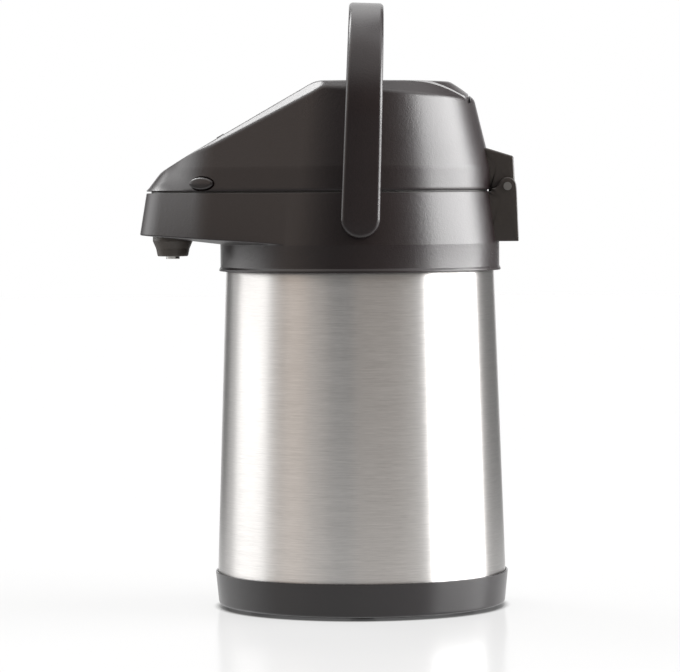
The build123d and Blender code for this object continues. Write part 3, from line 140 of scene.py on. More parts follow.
def tidy_faces(quads: Array) -> list[list[int]]:
    """Turns quads with one collapsed side into triangles and drops those with more.

    Args:
        quads: Array of shape (n, 4) of vertex numbers.

    Returns:
        Faces as lists of three or four vertex numbers.
    """
    same = quads == np.roll(quads, -1, axis=1)
    crossed = (quads[:, 0] == quads[:, 2]) | (quads[:, 1] == quads[:, 3])
    count = same.sum(axis=1)
    faces = quads[(count == 0) & ~crossed].tolist()
    for side in range(4):
        kept = [k for k in range(4) if k != side]
        chosen = (count == 1) & same[:, side] & ~crossed
        faces += quads[chosen][:, kept].tolist()
    return faces


def mesh_object(name: str, vertices: Array, faces: list[list[int]]) -> bpy.types.Object:
    """Makes a smooth-shaded object whose steep edges stay crisp.

    Args:
        name: Name of the object.
        vertices: Array of shape (n, 3), in metres.
        faces: Lists of vertex numbers.

    Returns:
        The new object, linked to the scene.
    """
    mesh = bpy.data.meshes.new(name)
    mesh.from_pydata(vertices.tolist(), [], faces)
    mesh.validate()
    crisp_edges(mesh)
    obj = bpy.data.objects.new(name, mesh)
    bpy.context.scene.collection.objects.link(obj)
    return obj


def crisp_edges(mesh: bpy.types.Mesh) -> None:
    """Shades a mesh smooth, but for edges where the face normals turn by over SHARP_DEGREES."""
    polygons, loops, edges = len(mesh.polygons), len(mesh.loops), len(mesh.edges)
    mesh.polygons.foreach_set("use_smooth", np.ones(polygons, bool))
    normals = np.zeros(polygons * 3, np.float32)
    mesh.polygons.foreach_get("normal", normals)
    normals = normals.reshape(-1, 3)
    totals = np.zeros(polygons, np.int32)
    mesh.polygons.foreach_get("loop_total", totals)
    edge_of_loop = np.zeros(loops, np.int32)
    mesh.loops.foreach_get("edge_index", edge_of_loop)
    face_of_loop = np.repeat(np.arange(polygons), totals)
    order = np.argsort(edge_of_loop, kind="stable")
    start = np.searchsorted(edge_of_loop[order], np.arange(edges))
    pair = np.bincount(edge_of_loop, minlength=edges) == 2
    one = face_of_loop[order[np.clip(start, 0, loops - 1)]]
    two = face_of_loop[order[np.clip(start + 1, 0, loops - 1)]]
    turn = (normals[one] * normals[two]).sum(axis=1)
    sharp = pair & (turn < math.cos(math.radians(SHARP_DEGREES)))
    attribute = mesh.attributes.get("sharp_edge") or mesh.attributes.new("sharp_edge", "BOOLEAN", "EDGE")
    attribute.data.foreach_set("value", sharp)
    mesh.update()


def soften(corners: Array, radii: Sequence[float], steps: int) -> Array:
    """Rounds the corners of many closed profiles at once.

    Each corner is replaced by the quadratic curve (1-t)^2 A + 2t(1-t) C + t^2 B from A to B,
    where A and B lie on its two sides at radius * tan(half the turn) from the corner C, or at
    LONGEST_ROUNDING of a side if that is shorter.

    Args:
        corners: Array of shape (corners, profiles, 2).
        radii: One radius for each corner.
        steps: Pieces that each curve is divided into.

    Returns:
        Array of shape (rows, profiles, 2).
    """
    size = np.array(radii, float)[:, None]
    back = np.roll(corners, 1, axis=0) - corners
    ahead = np.roll(corners, -1, axis=0) - corners
    back_length = np.maximum(np.linalg.norm(back, axis=-1), TINY)
    ahead_length = np.maximum(np.linalg.norm(ahead, axis=-1), TINY)
    cosine = (back * ahead).sum(axis=-1) / (back_length * ahead_length)
    cosine = np.clip(cosine, -1, STRAIGHTEST_COSINE)
    tangent = size * np.sqrt((1 + cosine) / (1 - cosine))
    tangent = np.minimum(tangent, LONGEST_ROUNDING * np.minimum(back_length, ahead_length))
    leave = corners + back * (tangent / back_length)[..., None]
    join = corners + ahead * (tangent / ahead_length)[..., None]
    t = np.linspace(0, 1, steps + 1)[None, :, None, None]
    curve = (1 - t) ** 2 * leave[:, None] + 2 * t * (1 - t) * corners[:, None] + t**2 * join[:, None]
    return curve.reshape(-1, corners.shape[1], 2)


def section_of(rows: Sequence[tuple[object, object, float]], steps: int, columns: int = 1) -> Array:
    """A closed section from (radius, height, rounding) corners.

    Args:
        rows: Corners, each radius and height a number or one for each column.
        steps: Divisions of each rounding.
        columns: How many profiles.

    Returns:
        Array of shape (rows, columns, 2).
    """
    corners = [[np.broadcast_to(value, columns) for value in row[:2]] for row in rows]
    return soften(np.moveaxis(np.array(corners, float), 1, 2), [row[2] for row in rows], steps)


def ring_at(radius: Array, height: object) -> Array:
    """One row of a profile, from a radius and a height for each column."""
    return np.stack(np.broadcast_arrays(radius, height), axis=-1)[None]


def swing(profile: Array, angles: Array, centre: tuple[float, float] = (0.0, 0.0)) -> Array:
    """Places profiles of (radius, height) in upright planes about an axis.

    Args:
        profile: Array of shape (rows, 1 or columns, 2).
        angles: Angle of each column, in radians from +X.
        centre: X and Y of the axis.

    Returns:
        Array of shape (rows, columns, 3).
    """
    radius = np.broadcast_to(profile[..., 0], (len(profile), len(angles)))
    height = np.broadcast_to(profile[..., 1], radius.shape)
    x = centre[0] + radius * np.cos(angles)
    y = centre[1] + radius * np.sin(angles)
    return np.stack([x, y, height], axis=-1)


def turned(
    name: str,
    corners: Sequence[tuple[float, float, float]],
    columns: int = 192,
    centre: tuple[float, float] = (0.0, 0.0),
    steps: int = 4,
) -> bpy.types.Object:
    """A closed body of revolution from (radius, height, rounding) corners.

    The corners go up the outside and down the inside.

    Args:
        name: Name of the object.
        corners: Corners of the closed section.
        columns: Divisions round the axis.
        centre: X and Y of the axis.
        steps: Divisions of each rounding.

    Returns:
        The new object.
    """
    angles = np.linspace(0, TAU, columns, endpoint=False)
    return weave(name, swing(section_of(corners, steps), angles, centre), along=True)


def hull_reach(circles: Array, angles: Array) -> Array:
    """Distance from the axis to the convex hull of circles, along each angle.

    The hull's support in the direction n is the greatest x cos n + y sin n + r of its circles.
    Its reach along an angle a is the least support(n) / cos(n - a).

    Args:
        circles: Array of shape (n, 3) of x, y and radius.
        angles: Angles in radians.

    Returns:
        One distance for each angle.
    """
    normals = np.linspace(0, TAU, HULL_NORMALS, endpoint=False)
    x, y, radius = circles.T[:, :, None]
    support = (x * np.cos(normals) + y * np.sin(normals) + radius).max(axis=0)
    spread = np.cos(normals[:, None] - angles[None, :])
    reach = support[:, None] / np.maximum(spread, FLATTEST_COSINE)
    reach = np.where(spread > FLATTEST_COSINE, reach, FAR)
    return reach.min(axis=0)


def even_angles(circles: Array, columns: int) -> Array:
    """Angles at which a hull's outline is divided into equal lengths.

    Args:
        circles: Array of shape (n, 3) of x, y and radius.
        columns: How many angles.

    Returns:
        Increasing angles in radians.
    """
    dense = np.linspace(0, TAU, OUTLINE_POINTS)
    reach = hull_reach(circles, dense)
    line = np.stack([reach * np.cos(dense), reach * np.sin(dense)], axis=-1)
    length = np.concatenate([[0], np.cumsum(np.linalg.norm(np.diff(line, axis=0), axis=-1))])
    return np.interp(np.linspace(0, length[-1], columns, endpoint=False), length, dense)


def meet(field: Callable[[Array], Array], low: Array, high: Array) -> Array:
    """Where a rising function crosses zero, by halving the interval for all points at once.

    Args:
        field: Function of an array, below zero at low and above it at high.
        low: Lower ends.
        high: Upper ends.

    Returns:
        The crossing of each point.
    """
    low, high = np.array(low, float), np.array(high, float)
    for _ in range(HALVINGS):
        middle = (low + high) / 2
        inside = field(middle) < 0
        low = np.where(inside, middle, low)
        high = np.where(inside, high, middle)
    return (low + high) / 2


def even_rows(profile: Array, rows: int) -> Array:
    """Divides each column of a profile into rows of equal length.

    Args:
        profile: Array of shape (fine rows, columns, 2).
        rows: How many rows to keep.

    Returns:
        Array of shape (rows, columns, 2).
    """
    step = np.linalg.norm(np.diff(profile, axis=0), axis=-1)
    length = np.concatenate([np.zeros((1, step.shape[1])), np.cumsum(step, axis=0)])
    wanted = np.linspace(0, 1, rows)[:, None] * length[-1]
    place = (length[None] <= wanted[:, None]).sum(axis=1) - 1
    place = np.clip(place, 0, len(profile) - 2)
    start = np.take_along_axis(length, place, axis=0)
    span = np.maximum(np.take_along_axis(length, place + 1, axis=0) - start, TINY)
    share = np.clip((wanted - start) / span, 0, 1)[..., None]
    low = np.take_along_axis(profile, place[..., None], axis=0)
    high = np.take_along_axis(profile, place[..., None] + 1, axis=0)
    return low + share * (high - low)


def blend_max(a: Array, b: Array, radius: float) -> Array:
    """The greater of two fields, with the crease between them rounded.

    It is max(a, b) + (radius - |a - b|)^2 / (4 radius) where the fields differ by less than
    the radius.
    """
    near = np.maximum(radius - np.abs(a - b), 0.0)
    return np.maximum(a, b) + near**2 / (4 * radius)


def frame_at(origin: Sequence[float], out: Sequence[float], up: Sequence[float]) -> Array:
    """A 4 by 4 placement whose z axis points out and whose y axis leans towards up."""
    z = np.array(out, float) / np.linalg.norm(out)
    x = np.cross(np.array(up, float), z)
    x /= np.linalg.norm(x)
    place = np.eye(4)
    place[:3, 0], place[:3, 1], place[:3, 2], place[:3, 3] = x, np.cross(z, x), z, origin
    return place


def moved(points: Array, place: Array) -> Array:
    """Points carried by a 4 by 4 placement."""
    return points @ place[:3, :3].T + place[:3, 3]


def pillow(
    name: str,
    outline: Array,
    layers: Sequence[tuple[float, float]],
    place: Array,
    crown: float = 0.0,
) -> bpy.types.Object:
    """A closed slab whose outline is drawn in from layer to layer, with closed ends.

    Row k is the outline moved inwards along its own normals by the layer's inset, at the
    layer's depth. The two end faces close on the outline's middle.

    Args:
        name: Name of the object.
        outline: Array of shape (n, 2), counter-clockwise.
        layers: (inset, depth) of each row, from the back to the front.
        place: Placement of the slab; depth is along its z axis.
        crown: How far the middle of the front stands proud of its rim.

    Returns:
        The new object.
    """
    along = np.roll(outline, -1, axis=0) - np.roll(outline, 1, axis=0)
    normal = np.stack([along[:, 1], -along[:, 0]], axis=-1)
    normal /= np.maximum(np.linalg.norm(normal, axis=-1, keepdims=True), TINY)
    middle = outline.mean(axis=0)
    rings = []
    for inset, depth in layers:
        ring = outline - normal * inset
        rings.append(np.concatenate([ring, np.full((len(ring), 1), depth)], axis=-1))
    front = rings[-1]
    for share in END_SHARES:
        ring = middle + (front[:, :2] - middle) * share
        height = front[:, 2:] + crown * (1 - share**2)
        rings.append(np.concatenate([ring, height], axis=-1))
    back = rings[0].copy()
    back[:, :2] = middle
    return weave(name, moved(np.stack([back, *rings]), place))


def pierced(piece: bpy.types.Object, cutters: Sequence[bpy.types.Object]) -> bpy.types.Object:
    """Cuts closed cutters out of a closed piece, and drops the cutters.

    Args:
        piece: Object to cut.
        cutters: Closed objects that pass through it.

    Returns:
        The same object with its new mesh.
    """
    for cutter in cutters:
        cut = piece.modifiers.new("hole", "BOOLEAN")
        cut.operation, cut.solver, cut.object = "DIFFERENCE", "EXACT", cutter
        shape = piece.evaluated_get(bpy.context.evaluated_depsgraph_get())
        mesh = bpy.data.meshes.new_from_object(shape)
        piece.modifiers.clear()
        piece.data = mesh
        bpy.data.objects.remove(cutter)
    crisp_edges(piece.data)
    return piece


def ellipse(half_long: float, half_high: float, count: int = 72) -> Array:
    """Points round an ellipse, counter-clockwise."""
    t = np.linspace(0, TAU, count, endpoint=False)
    return np.stack([half_long * np.cos(t), half_high * np.sin(t)], axis=-1)


def outline_of(corners: Sequence[tuple[float, float, float]], steps: int = 5) -> Array:
    """A closed outline from (x, y, rounding) corners."""
    line = section_of(corners, steps)[:, 0]
    return line[np.linalg.norm(line - np.roll(line, 1, axis=0), axis=-1) > SAME_POINT]


def helix(radius: float, low: float, high: float, turns: int, steps: int) -> Array:
    """Points up a coil about the z axis: (r cos a, r sin a, z), with so many steps a turn."""
    turn = np.linspace(0, turns * TAU, turns * steps + 1)
    rise = np.linspace(low, high, len(turn))
    return np.stack([radius * np.cos(turn), radius * np.sin(turn), rise], axis=-1)


def wire(name: str, path: Array, radius: float, sides: int) -> bpy.types.Object:
    """A round wire with closed ends along a path.

    The tangent T comes from the path's differences. A first normal N is square to T, and the
    section is radius (N cos a + B sin a), B = T x N.

    Args:
        name: Name of the object.
        path: Array of shape (n, 3) in millimetres.
        radius: Radius of the wire.
        sides: Divisions of the section.

    Returns:
        The new object.
    """
    tangent = np.gradient(path, axis=0)
    tangent /= np.linalg.norm(tangent, axis=-1, keepdims=True)
    axis = np.eye(3)[np.argmin(np.abs(tangent).max(axis=0))]
    normal = np.cross(tangent, axis)
    normal /= np.linalg.norm(normal, axis=-1, keepdims=True)
    side = np.cross(tangent, normal)
    turn = np.linspace(0, TAU, sides, endpoint=False)
    ring = normal[:, None] * np.cos(turn)[:, None] + side[:, None] * np.sin(turn)[:, None]
    wall = path[:, None] + ring * radius
    first, last = (np.broadcast_to(end, wall[:1].shape) for end in (path[0], path[-1]))
    return weave(name, np.concatenate([first, wall, last]))


# Shader groups
Inputs = dict[object, object]
Colour = tuple[float, float, float]


@dataclass(frozen=True)
class Wiring:
    """Adds and joins nodes in one node tree."""

    tree: bpy.types.NodeTree

    def feed(self, node: bpy.types.Node, inputs: Inputs) -> None:
        """Sets a node's inputs, by name or number, to plain values or joins sockets to them."""
        for key, value in inputs.items():
            if isinstance(value, bpy.types.NodeSocket):
                self.tree.links.new(value, node.inputs[key])
            else:
                node.inputs[key].default_value = value

    def add(self, kind: str, inputs: Optional[Inputs] = None, **settings: object) -> bpy.types.NodeOutputs:
        """Adds a node.

        Args:
            kind: Type of the node.
            inputs: What feeds each input, by name or number.
            settings: Its properties.

        Returns:
            The node's outputs.
        """
        node = self.tree.nodes.new(kind)
        for key, value in settings.items():
            setattr(node, key, value)
        self.feed(node, inputs or {})
        return node.outputs

    def math(self, operation: str, *terms: object) -> bpy.types.NodeSocket:
        """A Math node fed by sockets or plain numbers."""
        return self.add("ShaderNodeMath", dict(enumerate(terms)), operation=operation)[0]

    def noise(
        self, where: bpy.types.NodeSocket, scale: object, detail: float, roughness: float
    ) -> bpy.types.NodeSocket:
        """A noise texture's value."""
        inputs = {"Vector": where, "Scale": scale, "Detail": detail, "Roughness": roughness}
        return self.add("ShaderNodeTexNoise", inputs)[0]

    def span(
        self, value: bpy.types.NodeSocket, start: float, end: float, low: object = 0.0, high: object = 1.0
    ) -> bpy.types.NodeSocket:
        """Carries start..end to low..high, clamped."""
        inputs = {"Value": value, "From Min": start, "From Max": end, "To Min": low, "To Max": high}
        return self.add("ShaderNodeMapRange", inputs)[0]

    def fade(self, value: bpy.types.NodeSocket, start: float, end: float) -> bpy.types.NodeSocket:
        """Rises smoothly from 0 to 1 as a value goes from start to end."""
        inputs = {"Value": value, "From Min": start, "From Max": end}
        return self.add("ShaderNodeMapRange", inputs, interpolation_type="SMOOTHSTEP")[0]


def new_group(name: str, numbers: dict[str, float], results: Sequence[str]) -> bpy.types.NodeTree:
    """Starts a shader node group with a vector input, number inputs and number outputs.

    Args:
        name: Name of the group.
        numbers: Default of each number input.
        results: Names of the outputs.

    Returns:
        The group, with its input and output nodes called In and Out.
    """
    group = bpy.data.node_groups.new(name, "ShaderNodeTree")
    group.interface.new_socket("Vector", in_out="INPUT", socket_type="NodeSocketVector")
    for label, default in numbers.items():
        socket = group.interface.new_socket(label, in_out="INPUT", socket_type="NodeSocketFloat")
        socket.default_value = default
    for label in results:
        group.interface.new_socket(label, in_out="OUTPUT", socket_type="NodeSocketFloat")
    group.nodes.new("NodeGroupInput").name = "In"
    group.nodes.new("NodeGroupOutput").name = "Out"
    return group


def spark_grain_group() -> bpy.types.NodeTree:
    """Fine grain of a spark-eroded mould: two sizes of noise, as a height and a mask."""
    coarse_scale, coarse_weight = 0.35, 0.6
    group = new_group("spark_grain", {"Scale": 1800.0}, ("Height", "Mask"))
    w, given = Wiring(group), group.nodes["In"].outputs
    fine = w.noise(given["Vector"], given["Scale"], 2.0, 0.6)
    coarse = w.noise(given["Vector"], w.math("MULTIPLY", given["Scale"], coarse_scale), 1.0, 0.5)
    total = w.math("MULTIPLY_ADD", coarse, coarse_weight, fine)
    w.feed(group.nodes["Out"], {"Height": total, "Mask": coarse})
    return group


def handling_group() -> bpy.types.NodeTree:
    """Broad uneven sheen left by moulding and handling, as a roughness."""
    group = new_group("handling", {"Scale": 14.0, "Low": 0.35, "High": 0.45}, ("Roughness",))
    w, given = Wiring(group), group.nodes["In"].outputs
    noise = w.noise(given["Vector"], given["Scale"], 4.0, 0.55)
    rough = w.span(noise, 0.35, 0.65, given["Low"], given["High"])
    w.feed(group.nodes["Out"], {"Roughness": rough})
    return group


def brush_group() -> bpy.types.NodeTree:
    """Brush lines round an upright axis.

    The point is written as (arc length, 0, height), so noise stretched along the arc follows
    the tool round the wall. Short scratches and long bands are added up.
    """
    wall_radius, band_scale, band_weight = 0.08, 0.28, 0.8
    group = new_group("brushed_round", {"Fineness": 3200.0, "Stretch": 0.03}, ("Height", "Mask"))
    w, given = Wiring(group), group.nodes["In"].outputs
    parts = w.add("ShaderNodeSeparateXYZ", {0: given["Vector"]})
    arc = w.math("MULTIPLY", w.math("ARCTAN2", parts["Y"], parts["X"]), wall_radius)
    stretched = w.math("MULTIPLY", arc, given["Stretch"])
    point = w.add("ShaderNodeCombineXYZ", {"X": stretched, "Z": parts["Z"]})[0]
    lines, bands = (
        w.noise(point, w.math("MULTIPLY", given["Fineness"], scale), 3.0, 0.7) for scale in (1.0, band_scale)
    )
    total = w.math("MULTIPLY_ADD", bands, band_weight, lines)
    w.feed(group.nodes["Out"], {"Height": total, "Mask": w.span(total, 0.68, 1.12)})
    return group


# Finishes
def new_material(name: str) -> tuple[bpy.types.Material, Wiring, bpy.types.Node]:
    """A new material, the wiring of its tree and its shader."""
    material = bpy.data.materials.new(name)
    material.use_nodes = True
    return material, Wiring(material.node_tree), material.node_tree.nodes["Principled BSDF"]


def lighter(colour: Colour, factor: float) -> tuple[float, ...]:
    """A colour times a factor, with its alpha."""
    return (*(min(1.0, c * factor) for c in colour), 1.0)


@dataclass(frozen=True)
class Moulding:
    """Moulded plastic or rubber with a fine grain and an uneven sheen."""

    name: str
    colour: Colour
    low: float
    high: float
    grain: float = 1800.0
    relief: float = 0.00002
    specular: float = 0.5
    fleck: float = 0.24

    def make(self, grain: bpy.types.NodeTree, sheen: bpy.types.NodeTree) -> bpy.types.Material:
        """Builds the material from the shared groups."""
        material, w, shader = new_material(self.name)
        where = w.add("ShaderNodeTexCoord")["Object"]
        fine = w.add("ShaderNodeGroup", {"Vector": where, "Scale": self.grain}, node_tree=grain)
        ends = {"Vector": where, "Low": self.low, "High": self.high}
        broad = w.add("ShaderNodeGroup", ends, node_tree=sheen)
        plain, paler = lighter(self.colour, 1.0), lighter(self.colour, 1 + self.fleck)
        tint = w.add("ShaderNodeMix", {"Factor": fine["Mask"], "A": plain, "B": paler}, data_type="RGBA")
        bump = w.add("ShaderNodeBump", {"Strength": 1.0, "Distance": self.relief, "Height": fine["Height"]})
        w.feed(shader, {
            "Specular IOR Level": self.specular, "Base Color": tint["Result"],
            "Roughness": broad["Roughness"], "Normal": bump["Normal"],
        })
        return material


@dataclass(frozen=True)
class BrushedMetal:
    """Steel brushed round the upright axis."""

    name: str
    colour: Colour
    low: float
    high: float
    anisotropy: float
    relief: float = 0.000004
    fineness: float = 3200.0
    tint: float = 0.06
    quarter_turn: float = 0.25

    def make(self, brush: bpy.types.NodeTree) -> bpy.types.Material:
        """Builds the material from the brush group."""
        material, w, shader = new_material(self.name)
        where = w.add("ShaderNodeTexCoord")["Object"]
        lines = w.add("ShaderNodeGroup", {"Vector": where, "Fineness": self.fineness}, node_tree=brush)
        darker, paler = lighter(self.colour, 1 - self.tint), lighter(self.colour, 1 + self.tint)
        tint = w.add("ShaderNodeMix", {"Factor": lines["Mask"], "A": darker, "B": paler}, data_type="RGBA")
        bump = w.add("ShaderNodeBump", {"Strength": 1.0, "Distance": self.relief, "Height": lines["Height"]})
        w.feed(shader, {
            "Metallic": 1.0, "Anisotropic": self.anisotropy, "Anisotropic Rotation": self.quarter_turn,
            "Tangent": w.add("ShaderNodeTangent", direction_type="RADIAL", axis="Z")[0],
            "Base Color": tint["Result"], "Roughness": w.span(lines["Mask"], 0.0, 1.0, self.low, self.high),
            "Normal": bump["Normal"],
        })
        return material


class Finishes:
    """Every material of the pot, by the record's slot, and two copies of the body plastic painted paler to
    stand in for light.
    """

    def __init__(self) -> None:
        """Builds the shared groups and one material for each slot."""
        grain, sheen, brush = spark_grain_group(), handling_group(), brush_group()
        black, seen = (0.0100, 0.0060, 0.0066), {"specular": 0.55}
        moulded = {
            Slot.BODY: Moulding("grained_collar_plastic", black, 0.27, 0.33, 1300.0, 0.00006, **seen),
            Slot.BASE: Moulding(
                "smooth_base_plastic", (0.0125, 0.0105, 0.0112), 0.22, 0.27, 900.0, 0.00001, **seen
            ),
            Slot.TRIM: Moulding("satin_button_plastic", black, 0.22, 0.27, 1400.0, 0.00001, **seen),
            Slot.INNER: Moulding("inner_plastic", (0.06, 0.058, 0.055), 0.38, 0.46),
            Slot.SLICK: Moulding("slick_plastic", (0.75, 0.74, 0.70), 0.35, 0.42),
            Slot.RUBBER: Moulding("black_rubber", (0.045, 0.045, 0.045), 0.62, 0.72, 1200.0),
            Slot.BELLOWS: Moulding("grey_silicone", (0.2, 0.2, 0.2), 0.45, 0.55, 900.0),
        }
        metal = {
            Slot.SHELL: BrushedMetal(
                "brushed_shell_steel", (0.575, 0.56, 0.545), 0.29, 0.38, 1.0, 0.000006, 4000.0, 0.12
            ),
            Slot.LINER: BrushedMetal("drawn_bottle_steel", (0.68, 0.67, 0.65), 0.26, 0.34, 0.3),
            Slot.TUBE: BrushedMetal("bright_tube_steel", (0.74, 0.73, 0.71), 0.10, 0.16, 0.0),
            Slot.SCREW: BrushedMetal("machined_steel", (0.3, 0.3, 0.295), 0.28, 0.38, 0.2),
            Slot.SPRING: BrushedMetal("bare_wire", (0.5, 0.5, 0.49), 0.25, 0.35, 0.0),
        }
        self.by_slot = {slot: finish.make(grain, sheen) for slot, finish in moulded.items()}
        self.by_slot |= {slot: finish.make(brush) for slot, finish in metal.items()}
        # The nozzle's paler copy of the body plastic: its lighter colour is painted light.
        self.nozzle = Moulding("nozzle_plastic_painted_lighter", (0.07, 0.06, 0.052), 0.36, 0.44).make(grain, sheen)
        # The hinge's paler copy of the body plastic: its lighter colour is painted light.
        self.hinge = Moulding("hinge_plastic_painted_lighter", (0.030, 0.025, 0.022), 0.30, 0.38).make(grain, sheen)

    def dress(
        self,
        piece: bpy.types.Object,
        body: Body,
        slot: Slot,
        replaced: Sequence[str] = (),
        finish: Optional[bpy.types.Material] = None,
    ) -> None:
        """Gives a piece its slot's material and its body, and hides the nodes that it stands for.

        Args:
            piece: The new object.
            body: Rigid body that carries it.
            slot: Its material slot.
            replaced: CAD nodes that it replaces.
            finish: Its material, or None for that of its slot.
        """
        piece.data.materials.clear()
        piece.data.materials.append(self.by_slot[slot] if finish is None else finish)
        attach(piece, body.value)
        if replaced:
            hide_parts(*replaced)
        LOG.info("%s rides on %s, %d faces", piece.name, body.value, len(piece.data.polygons))

    def dress_frame(self) -> None:
        """Gives every CAD node the material of its slot."""
        for entry in frame["record"]["subparts"]:
            node = frame["nodes"][entry["node"]]
            node.data.materials.clear()
            node.data.materials.append(self.by_slot[Slot(entry["material_slot"])])


# Sub-assemblies
@dataclass
class Levels:
    """Heights that stack up from the table."""

    base_top: float = 20.4
    ring_low: float = 190.4
    crease: float = 205.7
    split: float = 234.6
    lid_low: float = 235.6
    skirt_top: float = 248.8
    lid_top: float = 296.3
    deck_low: float = 203.0
    deck_top: float = 206.0
    shell_foot: float = 12.0
    neck_top: float = 208.0
    bail_pivot: float = 220.2


@dataclass
class Plan:
    """Plan of collar and lid: three circles on the line of symmetry and their hull."""

    body: float = 75.2
    middle: float = 49.0
    tip: float = 26.0
    middle_out: float = 60.0
    reach: float = 120.6

    def circles(self, grow: float = 0.0) -> Array:
        """Rows of x, y and radius of the three circles, grown by a distance."""
        return np.array([
            (0.0, 0.0, self.body + grow),
            (0.0, -self.middle_out, self.middle + grow),
            (0.0, self.tip - self.reach, self.tip + grow),
        ])

    def distance(self, x: Array, y: Array, grow: Array, tip_back: Array) -> Array:
        """Signed distance in plan to the hull.

        It is the lesser of the distances to two tapered capsules. For circles of radii a and
        b, h apart, with s = (a - b) / h and c = sqrt(1 - s^2), a point (p, q) across and along
        the line is nearest the tapered side while 0 < c q - s p < c h, and is then
        c p + s q - a away.
        """
        circles = [
            (0.0, self.body + grow),
            (-self.middle_out, self.middle + grow),
            (self.tip - self.reach + tip_back, self.tip + grow),
        ]
        across = np.abs(x)
        best = np.full(np.shape(x), FAR)
        for (y_a, r_a), (y_b, r_b) in zip(circles, circles[1:]):
            height = y_a - y_b
            along = y_a - y
            sine = (r_a - r_b) / height
            cosine = np.sqrt(1 - sine**2)
            k = cosine * along - sine * across
            near = np.hypot(across, along) - r_a
            far = np.hypot(across, along - height) - r_b
            side = cosine * across + sine * along - r_a
            best = np.minimum(best, np.where(k < 0, near, np.where(k > cosine * height, far, side)))
        return best


@dataclass
class Vessel:
    """Steel shell on its black base cup, with the bottle inside it."""

    levels: Levels
    finishes: Finishes
    base_radius: float = 83.0
    base_foot_radius: float = 81.6
    base_low: float = 1.8
    shell_low: float = 81.6
    shell_high: float = 75.9
    wall: float = 0.8
    recess_radius: float = 77.0
    recess_top: float = 4.0
    floor_top: float = 6.8
    ledge: float = 3.4
    shoulder: float = 50.0
    neck: float = 41.0
    liner_low: float = 17.0
    liner_shoulder: float = 172.0
    liner_throat: float = 198.8
    liner_radius: float = 68.1
    liner_neck: float = 36.0
    liner_wall: float = 0.6
    liner_round: float = 14.0

    def shell_radius(self, z: float) -> float:
        """Outer radius of the tapered shell at a height."""
        share = (z - self.levels.base_top) / (self.levels.ring_low - self.levels.base_top)
        return self.shell_low + share * (self.shell_high - self.shell_low)

    def build(self) -> None:
        """Builds and dresses the base cup, the shell and the bottle."""
        self.finishes.dress(self.base_cup(), Body.POT, Slot.BASE, ["base_cup"])
        self.finishes.dress(self.outer_shell(), Body.POT, Slot.SHELL, ["outer_shell"])
        self.finishes.dress(self.liner(), Body.POT, Slot.LINER, ["inner_liner", "liner_bottom"])

    def base_cup(self) -> bpy.types.Object:
        """Cup with a rounded foot, a soft top lip and a recess for the swivel plate."""
        top, ledge = self.levels.base_top, self.levels.shell_foot
        inner = self.shell_radius(ledge) + 0.1
        return turned(
            "base_cup_moulding",
            [
                (self.recess_radius, self.base_low, 0.6),
                (self.base_foot_radius - 0.4, self.base_low, 5.2),
                (self.base_radius, top, 0.65),
                (inner, top, 0.4),
                (inner, ledge, 0.3),
                (inner - self.ledge, ledge, 0.3),
                (inner - self.ledge, self.floor_top, 1.0),
                (0.0, self.floor_top, 0.0),
                (0.0, self.recess_top, 0.0),
                (self.recess_radius, self.recess_top, 0.5),
            ],
            columns=288,
            steps=8,
        )

    def outer_shell(self) -> bpy.types.Object:
        """Tapered shell with its shoulder and neck, one wall thick."""
        low, high = self.levels.shell_foot, self.levels.ring_low + 1
        r_low, r_high = self.shell_radius(low), self.shell_radius(high)
        flat, top, wall = self.levels.deck_low, self.levels.neck_top, self.wall
        return turned(
            "outer_shell_steel",
            [
                (r_low, low, 0.2),
                (r_high, high, 4.0),
                (self.shoulder, flat, 1.5),
                (self.neck, flat, 0.5),
                (self.neck, top, 0.2),
                (self.neck - wall, top, 0.2),
                (self.neck - wall, flat - wall, 0.5),
                (self.shoulder, flat - wall, 1.5),
                (r_high - wall, high, 3.5),
                (r_low - wall, low, 0.2),
            ],
            columns=288,
        )

    def liner(self) -> bpy.types.Object:
        """Inner bottle, open at its neck."""
        low, wall, radius = self.liner_low, self.liner_wall, self.liner_radius
        shoulder, neck, turn = self.liner_shoulder, self.liner_neck, self.liner_round
        throat, top = self.liner_throat, self.levels.neck_top
        return turned(
            "bottle_liner",
            [
                (0.0, low, 0.0),
                (radius, low, turn),
                (radius, shoulder, turn),
                (neck + wall, throat, 4.0),
                (neck + wall, top, 0.2),
                (neck, top, 0.2),
                (neck, throat, 4.0),
                (radius - wall, shoulder, turn),
                (radius - wall, low + wall, turn - wall),
                (0.0, low + wall, 0.0),
            ],
            columns=144,
            steps=10,
        )


